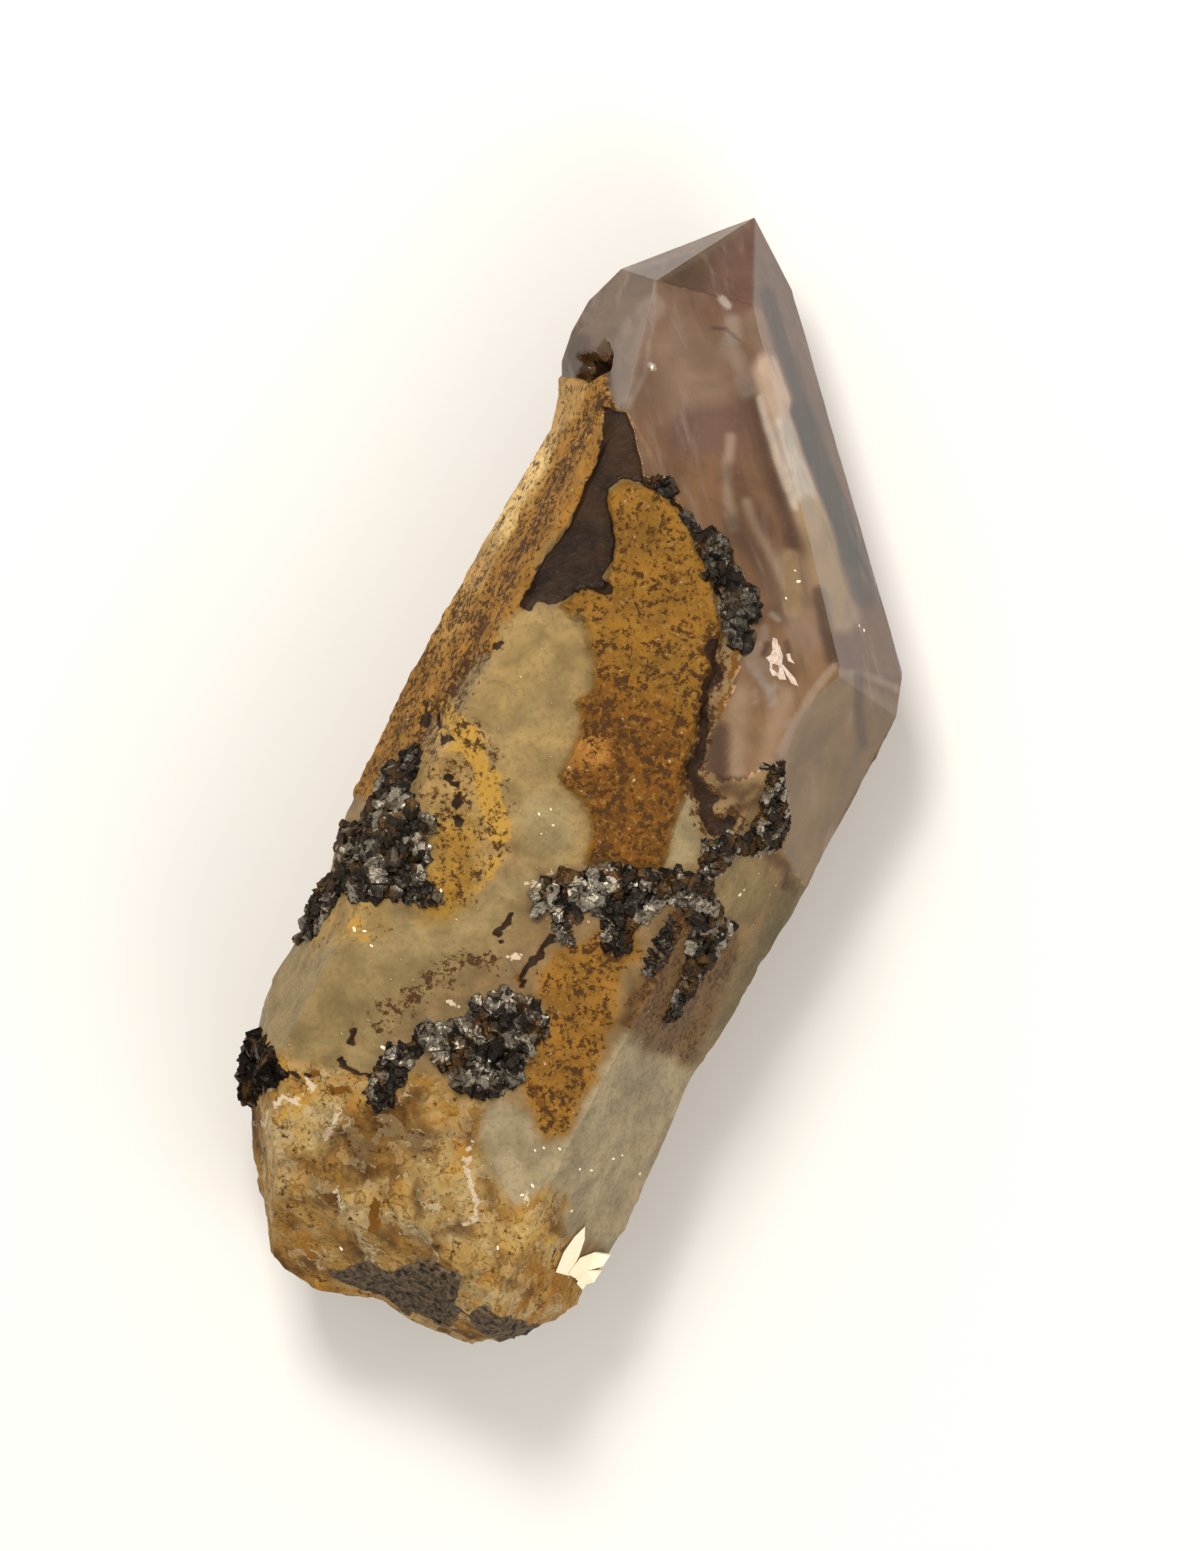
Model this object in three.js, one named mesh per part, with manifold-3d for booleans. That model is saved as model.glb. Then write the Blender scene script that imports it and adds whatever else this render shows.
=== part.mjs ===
// An ametrine point lying on its back: one doubly coloured quartz crystal with goethite grown on it.
// Millimetres. X runs across the crystal, Y along it towards the tip, Z up.
// The model stands on Z = 0, with the middle of its box on the Z axis.
import * as THREE from "three";
import Module from "manifold-3d";
import { ConvexGeometry } from "three/addons/geometries/ConvexGeometry.js";
import { ImprovedNoise } from "three/addons/math/ImprovedNoise.js";
import { mergeVertices } from "three/addons/utils/BufferGeometryUtils.js";

const wasm = await Module();
wasm.setup();

// The prism. Its front face and its underside are level. The side edges run at a share of its thickness,
// and the underside starts at least a share of the width in from the sides.
const THICKNESS = 20;
const LEFT_EDGE_SHARE = 0.54;
const RIGHT_EDGE_SHARE = 0.505;
const UNDERSIDE_LEFT = -8.05;
const UNDERSIDE_RIGHT = 9.15;
const UNDERSIDE_INSET = 0.12;
// Sections stand closely at the rounded end of the base and evenly from there to the cap.
const END_SECTIONS = [-36.5, -36, -35.2, -34];
const FIRST_SECTION = -32.5;
const SECTION_STEP = 3;
const CAP_TOP = 27;
const LOFT_TOP = 40;
const SIDE_SPLITS = [8, 4, 4, 3, 4, 4];

// The sides as seen from the front: pairs of Y and X, up from the broken base.
const LEFT_SIDE = [
  [-36.5, -0.9], [-36.2, -2.8], [-35.4, -4.7], [-33, -6], [-30, -8], [-28, -9.8], [-25.8, -10.8],
  [-21, -11.9], [-18, -11.75], [-13, -11.8], [-11, -12.4], [-8, -12.7], [0, -12.9], [10, -12.75],
  [18, -12.35], [20, -12.9], [22, -14], [24, -14.35], [26.2, -14.3], [40, -14.3],
];
const RIGHT_SIDE = [
  [-36.5, 0.9], [-35.8, 2], [-35.3, 6], [-34.8, 11], [-34, 12.5], [-31, 14.2], [-28, 14.7],
  [-24, 15], [-19, 14.7], [-14, 14.3], [-9, 14.7], [0, 15], [40, 15],
];
const FRONT_LEFT_EDGE = [[-36.5, -0.7], [-34, -3.5], [-30, -5.6], [-26, -8], [-20, -9], [40, -9]];
const FRONT_RIGHT_EDGE = [[-36.5, 0.7], [-34.8, 6], [-31, 8.6], [-24, 9.3], [-18, 8.8], [-8, 9.5], [40, 9.3]];
const TOP_HEIGHT = [[-36.5, 11.5], [-35.4, 14.5], [-34, 16.5], [-31, 18.4], [-27, 19.6], [-23, 20], [40, 20]];
const BOTTOM_HEIGHT = [[-36.5, 7.5], [-35.4, 4.5], [-34, 2.2], [-31, 0.6], [-29, 0], [40, 0]];

// How rough the skin is: rises where it is crusted and where it is broken, and the size of the lumps.
const CRUST_ROUGHNESS = 0.35;
const CRUST_END = [2, 14];
const BREAK_ROUGHNESS = 0.9;
const BREAK_START = [22, 30];
const GROUND_CLEARANCE = [0.5, 4];
const LUMP = [3.1, 3.7, 3.3];
const LUMP_SHIFT = 7;

// Corners of the termination, where its faces meet.
const FRONT_CORNER_LEFT = [-11, 29, 16.5];
const FRONT_CORNER_RIGHT = [10.5, 12.8, 17.9];
const LEFT_EDGE_END = [-9, 21, 20];
const RIDGE_TOP = [-5, 30.5, 13.8];
const TIP = [-7.6, 35.8, 9.2];
const SHOULDER_RIGHT = [15, 13, 10.1];
const SHOULDER_LEFT = [-13.4, 28.8, 12.4];
const CAP_EDGE = [-14.3, 26.2, 10.8];
const BACK_CORNER_RIGHT = [9.2, 15, 0];
const BACK_CORNER_MIDDLE = [-0.6, 25.7, 0];
const BACK_CORNER_LEFT = [-8.1, 26.3, 0];
const BACK_SHOULDER = [14, 15, 8.4];
const TERMINATION = {
  front: [FRONT_CORNER_LEFT, FRONT_CORNER_RIGHT, LEFT_EDGE_END],
  front_tip: [FRONT_CORNER_LEFT, RIDGE_TOP, TIP],
  right: [FRONT_CORNER_RIGHT, RIDGE_TOP, SHOULDER_RIGHT],
  left: [FRONT_CORNER_LEFT, TIP, SHOULDER_LEFT],
  back_right: [BACK_CORNER_RIGHT, BACK_CORNER_MIDDLE, BACK_SHOULDER],
  back_left: [CAP_EDGE, SHOULDER_LEFT, TIP],
  back: [BACK_CORNER_MIDDLE, BACK_CORNER_LEFT, TIP],
};
const SHOULDER_BEVEL = [[10.5, 12.6, 17.9], [14.2, 14.7, 8.6], [15, 12.2, 10.1]];

// The ochre slab on the front face, its outline, and how far it stands up.
const SLAB_HEIGHT = 0.65;
const SLAB_ROOT = 1;
const SLAB_BEVEL = 0.35;
const SLAB_OUTLINE = [
  [-7.2, 16], [-6, 17.1], [-4.5, 17.1], [-3, 16.4], [0, 14.3], [1.8, 12.5], [2.7, 11.2], [3.4, 8.4], [4, 6],
  [4.8, 2.6], [5.5, 1.2], [6, -2.6], [4, -3.8], [2.1, -4.6], [1.6, -3.2], [0, -1.5], [-1.8, -1], [-1.8, 1.8],
  [-2.9, 3.6], [-3.2, 6.4], [-5, 8.2], [-6.6, 8.6], [-5, 10.8], [-5.5, 13.2], [-6.9, 15.1],
];

// Dished breaks: middle X, middle Y, radius across, depth, and how far each is drawn out along X and Y.
const BREAKS = [
  { x: -5.9, y: -22.4, radius: 3.4, depth: 0.55, along: [1, 0.8] },
  { x: 1.4, y: -26.8, radius: 5.2, depth: 0.9, along: [1, 0.75] },
  { x: 8.2, y: -24.2, radius: 3.6, depth: 0.7, along: [1, 0.7] },
  { x: -3.6, y: -31.2, radius: 3.9, depth: 1.2, along: [0.9, 1] },
  { x: 5.2, y: -33, radius: 4.6, depth: 1.3, along: [1.2, 0.7] },
  { x: 0.4, y: -11.2, radius: 2.4, depth: 0.4, along: [0.8, 1.3] },
  { x: 6.9, y: 5, radius: 2.7, depth: 0.35, along: [0.7, 1.4] },
];
const BREAK_DETAIL = 4;
const CAP_PIT = { at: [-12, 23.1, 16.2], size: [1.3, 1.7, 1.4] };

// Plates left standing on the broken base: an outline and a height.
const PLATES = [
  { outline: [[-7.9, -26.6], [-6, -26], [-4.5, -25], [-4, -28.4], [-5, -29.6], [-7.4, -28.6]], top: 20.1 },
  { outline: [[0.6, -23.9], [4.3, -23.5], [5.8, -26.2], [6.3, -27.4], [3.8, -29.6], [1.2, -27.6]], top: 20 },
];
const PLATE_DEPTH = 2;
const PLATE_BEVEL = 0.3;

// Small white blades in a notch of the right side, near the base.
const BLADES = [
  { at: [12.7, -26, 13.6], turn: 12 }, { at: [13.4, -27, 12.6], turn: 24 },
  { at: [13.9, -25.7, 11.6], turn: -6 }, { at: [12.9, -27.7, 13.2], turn: 42 },
];
const BLADE_SIZE = [0.55, 2.5, 1.5];

// Goethite. Each vein of a growth goes through places: X, Y, the half width it spreads over, grain size.
const SEAT_GAP = 0.36;
const SEAT_OPENING = 1.5;
const VEIN_STEP = 2.4;
const VEIN_SIDES = 5;
const VEIN_OVERLAP = 0.3;
const VEIN_HEIGHT = 0.8;
const VEIN_EDGE = 0.8;
const BLOCK_HALF = [0.8, 0.7, 0.6];
const BLOCK_LIFT = 0.35;
const BLOCK_PITCH = 1.5;
const SLOPE_REACH = 0.4;
const SIDE_MARGIN = 0.5;
const GROWTHS = {
  goethite_string: [
    [
      [-5, 17.9, 0.1, 0.55], [-2, 16.4, 0.3, 0.75], [1.3, 14.8, 0.4, 0.8], [3.1, 13.2, 0.4, 0.8],
      [4.1, 11.6, 0.2, 0.6],
    ],
  ],
  goethite_left_cluster: [
    [[-10.4, -3.9, 0.4, 0.8], [-10, -6.4, 1.2, 1], [-9.5, -9.4, 2.1, 1.1], [-10.1, -12.2, 1.7, 1]],
    [[-8.6, -10.4, 0.9, 0.9], [-5.3, -11, 0.1, 0.5]],
    [[-11.6, -11.2, 0.3, 1], [-11.3, -14, 0.3, 0.8], [-11.2, -17, 0.1, 0.7]],
  ],
  goethite_centre_band: [
    [
      [0.4, -8, 0.2, 0.7], [2, -6.6, 0.6, 0.9], [4.6, -5.7, 0.8, 1], [7.3, -4.2, 0.8, 1],
      [9.4, -3.6, 0.4, 0.9],
    ],
    [[9.4, -3.8, 0.3, 0.9], [10.9, -5.6, 0.6, 0.9], [11.1, -8, 0.2, 0.8], [11.2, -10.6, 0.1, 0.6]],
    [[8.2, -4.9, 0.2, 0.7], [8.5, -6.9, 0.1, 0.6], [8.6, -11, 0.1, 0.6]],
  ],
  goethite_right_patch: [
    [[10.2, 5.8, 0.1, 0.6], [10.6, 3.2, 1, 0.9], [10.6, 0.9, 1.1, 0.9], [8.7, -0.9, 0.2, 0.7]],
  ],
  goethite_lower_cluster: [
    [[3.4, -14.9, 0.9, 0.9], [2, -17.4, 1.8, 1.1], [1.2, -19.5, 1.3, 0.9]],
    [[0.4, -18.9, 0.3, 0.8], [-2, -20.8, 0.3, 0.8], [-2.4, -23.8, 0.2, 0.8]],
  ],
  goethite_knob: [
    [[-9.7, -24.9, 0.1, 0.9], [-9.6, -26.2, 0.3, 1.1], [-9, -27.4, 0.1, 0.8]],
  ],
};

const noise = new ImprovedNoise();

/** Linear reading of a list of [place, value] pairs. */
function read(table, place) {
  const last = table.findIndex(([at]) => at >= place);
  if (last <= 0) return table[0][1];
  const [[from, low], [to, high]] = [table[last - 1], table[last]];
  return low + ((high - low) * (place - from)) / (to - from);
}

/** A solid for joining and cutting, from a closed geometry. */
function solidOf(geometry) {
  const bare = geometry.clone();
  bare.deleteAttribute("normal");
  bare.deleteAttribute("uv");
  const merged = mergeVertices(bare, 1e-4);
  return new wasm.Manifold(new wasm.Mesh({
    numProp: 3,
    vertProperties: new Float32Array(merged.attributes.position.array),
    triVerts: new Uint32Array(merged.index.array),
  }));
}

/** The geometry of a solid that has been joined and cut. */
function geometryOf(solid) {
  const mesh = solid.getMesh();
  const geometry = new THREE.BufferGeometry();
  geometry.setAttribute("position", new THREE.BufferAttribute(new Float32Array(mesh.vertProperties), 3));
  geometry.setIndex(new THREE.BufferAttribute(new Uint32Array(mesh.triVerts), 1));
  return geometry;
}

/** The plane through three corners, facing away from the crystal's middle. */
function planeThrough(corners) {
  const points = corners.map((corner) => new THREE.Vector3(...corner));
  const plane = new THREE.Plane().setFromCoplanarPoints(...points);
  const inside = new THREE.Vector3(0, 0, THICKNESS / 2);
  if (plane.distanceToPoint(inside) > 0) plane.negate();
  return plane;
}

/** A block whose one face lies on the plane, for taking away what is outside it. */
function blockBeyond(plane) {
  const size = 4 * THICKNESS;
  const geometry = new THREE.BoxGeometry(size, size, size);
  geometry.translate(0, 0, size / 2);
  const turn = new THREE.Quaternion().setFromUnitVectors(new THREE.Vector3(0, 0, 1), plane.normal);
  geometry.applyQuaternion(turn);
  geometry.translate(...plane.coplanarPoint(new THREE.Vector3()).toArray());
  return solidOf(geometry);
}

/** The six corners of the prism's section at one place along it, going round from the front left. */
function sectionCorners(y) {
  const top = read(TOP_HEIGHT, y);
  const bottom = read(BOTTOM_HEIGHT, y);
  const left = read(LEFT_SIDE, y);
  const right = read(RIGHT_SIDE, y);
  const inset = UNDERSIDE_INSET * (right - left);
  return [
    [read(FRONT_LEFT_EDGE, y), top],
    [read(FRONT_RIGHT_EDGE, y), top],
    [right, bottom + RIGHT_EDGE_SHARE * (top - bottom)],
    [Math.min(UNDERSIDE_RIGHT, right - inset), bottom],
    [Math.max(UNDERSIDE_LEFT, left + inset), bottom],
    [left, bottom + LEFT_EDGE_SHARE * (top - bottom)],
  ];
}

/** How far the skin stands proud at a place: rough where it is broken or crusted, smooth at the tip. */
function relief(x, y, z) {
  const broken = THREE.MathUtils.smoothstep(-y, ...BREAK_START);
  const crusted = 1 - THREE.MathUtils.smoothstep(y, ...CRUST_END);
  const grounded = THREE.MathUtils.smoothstep(z, ...GROUND_CLEARANCE);
  const lump = noise.noise(x / LUMP[0] + LUMP_SHIFT, y / LUMP[1], z / LUMP[2]);
  return grounded * lump * (CRUST_ROUGHNESS * crusted + BREAK_ROUGHNESS * broken);
}

/** The ring of points round one section, standing out from its straight sides by their relief. */
function sectionRing(y) {
  const corners = sectionCorners(y);
  return corners.flatMap(([x0, z0], side) => {
    const [x1, z1] = corners[(side + 1) % corners.length];
    const out = new THREE.Vector2(z0 - z1, x1 - x0).normalize();
    return Array.from({ length: SIDE_SPLITS[side] }, (_, i) => {
      const x = x0 + ((x1 - x0) * i) / SIDE_SPLITS[side];
      const z = z0 + ((z1 - z0) * i) / SIDE_SPLITS[side];
      const lift = y === END_SECTIONS[0] ? 0 : relief(x, y, z);
      return [x + out.x * lift, y, z + out.y * lift];
    });
  });
}

/** The middle of a ring of points. */
function ringMiddle(ring) {
  return [0, 1, 2].map((axis) => ring.reduce((sum, point) => sum + point[axis], 0) / ring.length);
}

/** The prism as a loft of six-sided sections, closed at both ends. */
function prismGeometry() {
  const places = [...END_SECTIONS];
  for (let y = FIRST_SECTION; y < CAP_TOP; y += SECTION_STEP) places.push(y);
  places.push(LOFT_TOP);
  const rings = places.map(sectionRing);
  const around = rings[0].length;
  const lastRow = (rings.length - 1) * around;
  const [startMiddle, endMiddle] = [rings.length * around, rings.length * around + 1];
  const index = [];
  for (let i = 0; i < around; i += 1) {
    const next = (i + 1) % around;
    for (let row = 0; row < lastRow; row += around) {
      index.push(row + i, row + next, row + i + around, row + next, row + next + around, row + i + around);
    }
    index.push(startMiddle, next, i, endMiddle, lastRow + i, lastRow + next);
  }
  const positions = [...rings.flat(), ringMiddle(rings[0]), ringMiddle(rings[rings.length - 1])];
  const geometry = new THREE.BufferGeometry();
  geometry.setAttribute("position", new THREE.Float32BufferAttribute(positions.flat(), 3));
  geometry.setIndex(index);
  return geometry;
}

/** The height of the crystal's front at a place, before anything is added to it or cut from it. */
function frontHeight(x, y) {
  const [[frontLeft, top], [frontRight], [right, rightEdge], , , [left, leftEdge]] = sectionCorners(y);
  const heights = [
    top,
    top - ((top - rightEdge) * (x - frontRight)) / (right - frontRight),
    top - ((top - leftEdge) * (frontLeft - x)) / (frontLeft - left),
  ];
  for (const corners of Object.values(TERMINATION)) {
    const { normal, constant } = planeThrough(corners);
    if (normal.z > 0.1) heights.push(-(constant + normal.x * x + normal.y * y) / normal.z);
  }
  return Math.min(...heights);
}

/** An outline pulled up into a slab. */
function slabGeometry(outline, from, to, bevel) {
  const shape = new THREE.Shape(outline.map(([x, y]) => new THREE.Vector2(x, y)));
  const geometry = new THREE.ExtrudeGeometry(shape, {
    depth: to - from - bevel,
    bevelEnabled: bevel > 0,
    bevelSize: bevel,
    bevelOffset: -bevel,
    bevelThickness: bevel,
    bevelSegments: 1,
  });
  geometry.translate(0, 0, from);
  return geometry;
}

/** A flattened ball that takes a dished break out of the front. */
function breakGeometry({ x, y, radius, depth, along }) {
  const ball = (radius * radius + depth * depth) / (2 * depth);
  const geometry = new THREE.IcosahedronGeometry(ball, BREAK_DETAIL);
  geometry.translate(0, 0, ball - depth);
  geometry.scale(along[0], along[1], 1);
  geometry.translate(x, y, frontHeight(x, y));
  return geometry;
}

/** An uneven pit of the given half sizes. */
function pitGeometry({ at, size }) {
  const geometry = new THREE.IcosahedronGeometry(1, 1);
  geometry.scale(...size);
  geometry.translate(...at);
  return geometry;
}

/** One thin pointed blade. */
function bladeGeometry({ at, turn }) {
  const [width, length, height] = BLADE_SIZE;
  const corners = [];
  for (const x of [-width / 2, width / 2]) {
    corners.push(new THREE.Vector3(x, -length / 2, 0), new THREE.Vector3(x, length / 2, 0));
    corners.push(new THREE.Vector3(x, -length / 3, height), new THREE.Vector3(x, length / 4, height));
    corners.push(new THREE.Vector3(x, -length / 2, -height), new THREE.Vector3(x, length / 2, -height));
  }
  const geometry = new ConvexGeometry(corners);
  geometry.rotateZ(THREE.MathUtils.degToRad(turn));
  geometry.translate(...at);
  return geometry;
}

/** A point lifted square off the crystal's front, above the nearest place that is seen from the front. */
function liftedPoint(wantedX, y, lift) {
  const leftmost = read(LEFT_SIDE, y) + SIDE_MARGIN;
  const rightmost = read(RIGHT_SIDE, y) - SIDE_MARGIN;
  const x = THREE.MathUtils.clamp(wantedX, leftmost, rightmost);
  const slopeX = (frontHeight(x + SLOPE_REACH, y) - frontHeight(x - SLOPE_REACH, y)) / (2 * SLOPE_REACH);
  const slopeY = (frontHeight(x, y + SLOPE_REACH) - frontHeight(x, y - SLOPE_REACH)) / (2 * SLOPE_REACH);
  const out = new THREE.Vector3(-slopeX, -slopeY, 1).normalize();
  return new THREE.Vector3(x, y, frontHeight(x, y)).addScaledVector(out, lift);
}

/** The stations along a vein: place, direction across it, half width and grain size at each. */
function stationsOf(vein) {
  const stations = [];
  for (let part = 0; part < vein.length - 1; part += 1) {
    const [x0, y0, spread0, size0] = vein[part];
    const [x1, y1, spread1, size1] = vein[part + 1];
    const count = Math.max(1, Math.round(Math.hypot(x1 - x0, y1 - y0) / VEIN_STEP));
    const last = part === vein.length - 2 ? 1 : 0;
    const across = new THREE.Vector2(y0 - y1, x1 - x0).normalize();
    for (let i = 0; i < count + last; i += 1) {
      const t = i / count;
      const mix = (from, to) => from + (to - from) * t;
      stations.push({
        x: mix(x0, x1), y: mix(y0, y1), across, spread: mix(spread0, spread1), size: mix(size0, size1),
      });
    }
  }
  return stations;
}

/** One uneven ring of a vein, sunk half into the crystal's front and moved on a little along the vein. */
function veinRing({ x, y, across, spread, size }, row, larger, onward) {
  return Array.from({ length: VEIN_SIDES }, (_, side) => {
    const angle = (2 * Math.PI * (side + 0.5 * (row % 2))) / VEIN_SIDES;
    const uneven = 0.92 + 0.22 * Math.sin(5.1 * row + 2.7 * side + x);
    const aside = Math.cos(angle) * ((spread + VEIN_EDGE * size) * uneven + larger);
    const open = larger > 0 && Math.sin(angle) > 0 ? SEAT_OPENING : 0;
    const lift = Math.sin(angle) * (VEIN_HEIGHT * size * uneven + larger + open);
    const [alongX, alongY] = [across.y * onward, -across.x * onward];
    return liftedPoint(x + across.x * aside + alongX, y + across.y * aside + alongY, lift);
  });
}

/** The body of a vein: chunks that overlap, each from a little before one station to past the next. */
function veinGeometries(vein, larger) {
  const stations = stationsOf(vein);
  return stations.slice(1).map((next, row) => new ConvexGeometry([
    ...veinRing(stations[row], row, larger, -VEIN_OVERLAP - larger),
    ...veinRing(next, row + 1, larger, VEIN_OVERLAP + larger),
  ]));
}

/** Blocky crystals standing out of a vein, side by side where it is wide. */
function blockGeometries(vein, larger) {
  return stationsOf(vein).flatMap(({ x, y, across, spread, size }, row) => {
    const count = 1 + Math.floor((2 * spread) / BLOCK_PITCH);
    return Array.from({ length: count }, (_, i) => {
      const turn = 2.4 * row + 1.1 * i + 1.3 * x;
      const geometry = new THREE.BoxGeometry(...BLOCK_HALF.map((half) => 2 * (half * size + larger)));
      geometry.rotateX(turn);
      geometry.rotateY(1.7 * turn);
      const aside = (i - (count - 1) / 2) * BLOCK_PITCH + 0.2 * Math.sin(1.9 * turn);
      const place = liftedPoint(x + across.x * aside, y + across.y * aside, BLOCK_LIFT * size);
      geometry.translate(...place.toArray());
      return geometry;
    });
  });
}

/** The veins of one growth joined into a lump, or made larger for the seat that holds it. */
function growthSolid(veins, larger) {
  const parts = veins.flatMap((vein) => [...veinGeometries(vein, larger), ...blockGeometries(vein, larger)]);
  return parts.map(solidOf).reduce((lump, part) => lump.add(part));
}

/** The quartz crystal, with seats for the goethite. */
function quartzSolid(seats) {
  let quartz = solidOf(prismGeometry());
  for (const corners of Object.values(TERMINATION)) {
    quartz = quartz.subtract(blockBeyond(planeThrough(corners)));
  }
  quartz = quartz.subtract(blockBeyond(planeThrough(SHOULDER_BEVEL)));
  for (const dish of BREAKS) quartz = quartz.subtract(solidOf(breakGeometry(dish)));
  const slab = slabGeometry(SLAB_OUTLINE, THICKNESS - SLAB_ROOT, THICKNESS + SLAB_HEIGHT, SLAB_BEVEL);
  quartz = quartz.add(solidOf(slab));
  for (const { outline, top } of PLATES) {
    quartz = quartz.add(solidOf(slabGeometry(outline, top - PLATE_DEPTH, top, PLATE_BEVEL)));
  }
  for (const blade of BLADES) quartz = quartz.add(solidOf(bladeGeometry(blade)));
  quartz = quartz.subtract(solidOf(pitGeometry(CAP_PIT)));
  for (const seat of seats) quartz = quartz.subtract(seat);
  return quartz;
}

/** One named piece of the model. */
function piece(name, solid, look) {
  const mesh = new THREE.Mesh(geometryOf(solid), new THREE.MeshStandardMaterial(look));
  mesh.name = name;
  return mesh;
}

const group = new THREE.Group();
const seats = Object.values(GROWTHS).map((veins) => growthSolid(veins, SEAT_GAP));
group.add(piece("quartz_point", quartzSolid(seats), { color: 0xa98f6f, roughness: 0.25, metalness: 0 }));
for (const [name, veins] of Object.entries(GROWTHS)) {
  group.add(piece(name, growthSolid(veins, 0), { color: 0x2e2c2b, roughness: 0.3, metalness: 0.6 }));
}

const middle = new THREE.Box3().setFromObject(group).getCenter(new THREE.Vector3());
group.position.set(-middle.x, -middle.y, 0);

export default group;
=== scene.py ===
"""An ametrine point for its picture: a quartz crystal with a clear violet tip, ochre crusts and goethite.

Lengths in the tables are millimetres in the crystal's own drawing: X across it, Y towards its tip, Z up.
"""
import math
import random

import bmesh
import bpy
import numpy as np
from mathutils import Matrix, Vector, noise
from mathutils.bvhtree import BVHTree
from mathutils.kdtree import KDTree


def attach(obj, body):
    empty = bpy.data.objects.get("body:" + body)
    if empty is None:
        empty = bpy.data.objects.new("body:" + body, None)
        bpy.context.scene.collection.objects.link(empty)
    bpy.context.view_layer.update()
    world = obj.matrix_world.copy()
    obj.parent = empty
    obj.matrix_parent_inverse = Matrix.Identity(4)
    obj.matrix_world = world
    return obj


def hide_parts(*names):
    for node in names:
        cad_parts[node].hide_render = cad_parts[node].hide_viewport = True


bl_info = {
    "name": "Ametrine point",
    "version": (1, 0, 0),
    "blender": (4, 5, 0),
    "location": "3D View > Sidebar > Ametrine",
    "description": "Builds an ametrine crystal point with its crusts, goethite growths and studio",
    "category": "Object",
}

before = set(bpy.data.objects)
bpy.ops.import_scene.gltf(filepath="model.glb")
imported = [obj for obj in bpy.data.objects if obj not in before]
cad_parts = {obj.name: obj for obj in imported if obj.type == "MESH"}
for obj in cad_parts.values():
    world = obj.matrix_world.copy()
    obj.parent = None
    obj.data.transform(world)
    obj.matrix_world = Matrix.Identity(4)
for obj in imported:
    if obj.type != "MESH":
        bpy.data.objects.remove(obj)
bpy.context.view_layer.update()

MM = 0.001
DRAWN_MIDDLE = (0.379, -0.352)
SEED = 7

# The prism: its ends, its section as corners X and Z from the front left, and its termination.
THICKNESS = 20.0
BASE_Y, TIP_Y = -36.5, 36.0
PRISM_LEFT, PRISM_FRONT_LEFT, PRISM_FRONT_RIGHT, PRISM_RIGHT = -14.3, -9.0, 9.3, 15.0
PRISM = [
    (PRISM_FRONT_LEFT, THICKNESS), (PRISM_FRONT_RIGHT, THICKNESS), (PRISM_RIGHT, 10.1),
    (9.15, 0.0), (-8.05, 0.0), (PRISM_LEFT, 10.8),
]
FRONT_CORNER_LEFT = (-11, 29, 16.5)
FRONT_CORNER_RIGHT = (10.5, 12.8, 17.9)
LEFT_EDGE_END = (-9, 21, 20)
RIDGE_TOP = (-5, 30.5, 13.8)
TIP = (-7.6, 35.8, 9.2)
SHOULDER_RIGHT = (15, 13, 10.1)
SHOULDER_LEFT = (-13.4, 28.8, 12.4)
CAP_EDGE = (-14.3, 26.2, 10.8)
BACK_CORNER_RIGHT = (9.2, 15, 0)
BACK_CORNER_MIDDLE = (-0.6, 25.7, 0)
BACK_CORNER_LEFT = (-8.1, 26.3, 0)
BACK_SHOULDER = (14, 15, 8.4)
TERMINATION = [
    (FRONT_CORNER_LEFT, FRONT_CORNER_RIGHT, LEFT_EDGE_END),
    (FRONT_CORNER_LEFT, RIDGE_TOP, TIP),
    (FRONT_CORNER_RIGHT, RIDGE_TOP, SHOULDER_RIGHT),
    (FRONT_CORNER_LEFT, TIP, SHOULDER_LEFT),
    (BACK_CORNER_RIGHT, BACK_CORNER_MIDDLE, BACK_SHOULDER),
    (CAP_EDGE, SHOULDER_LEFT, TIP),
    (BACK_CORNER_MIDDLE, BACK_CORNER_LEFT, TIP),
    ((10.5, 12.6, 17.9), (14.2, 14.7, 8.6), (15, 12.2, 10.1)),
]
BASE_CUTS = [
    ((0, -36.5, 0), (9, -36.5, 0), (0, -36.5, 9)),
    ((-9, -28.9, 10), (-4.4, -35.8, 10), (-7.2, -28.9, 18)),
    ((-9, -28.9, 10), (-4.4, -35.8, 10), (-7.2, -28.9, 0)),
    ((14.7, -30.2, 10), (11, -35.2, 10), (13.2, -29.8, 18)),
    ((14.7, -30.2, 10), (11, -35.2, 10), (13.2, -29.8, 0)),
    ((0, -23.5, 20), (8, -24.5, 20), (0, -31.2, 18.5)),
    ((0, -31, 18.6), (8, -31.4, 18.4), (0, -35.9, 12.5)),
    ((0, -29, 0), (8, -29.6, 0), (0, -36.5, 7)),
]
LEFT_SIDE = [
    (-37, -13.4), (-26, -13.4), (-24, -12.6), (-22, -12.1), (-21, -11.85), (-18, -11.75), (-13, -11.8),
    (-11, -12.4), (-8, -12.7), (0, -12.9), (10, -12.75), (18, -12.35), (20, -12.9), (22, -14),
    (24, -14.35), (26.2, -14.3), (40, -14.3),
]
RIGHT_SIDE = [
    (-37, 14.4), (-28, 14.7), (-24, 15), (-19, 14.7), (-14, 14.3), (-9, 14.7), (0, 15), (40, 15),
]
BASE_END = [
    (-6, -35), (-4.5, -35.6), (-2.5, -36.3), (0, -36.5), (1.5, -35.9), (3.5, -35.1), (6, -35.35),
    (10, -35), (12, -34.6),
]

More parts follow.
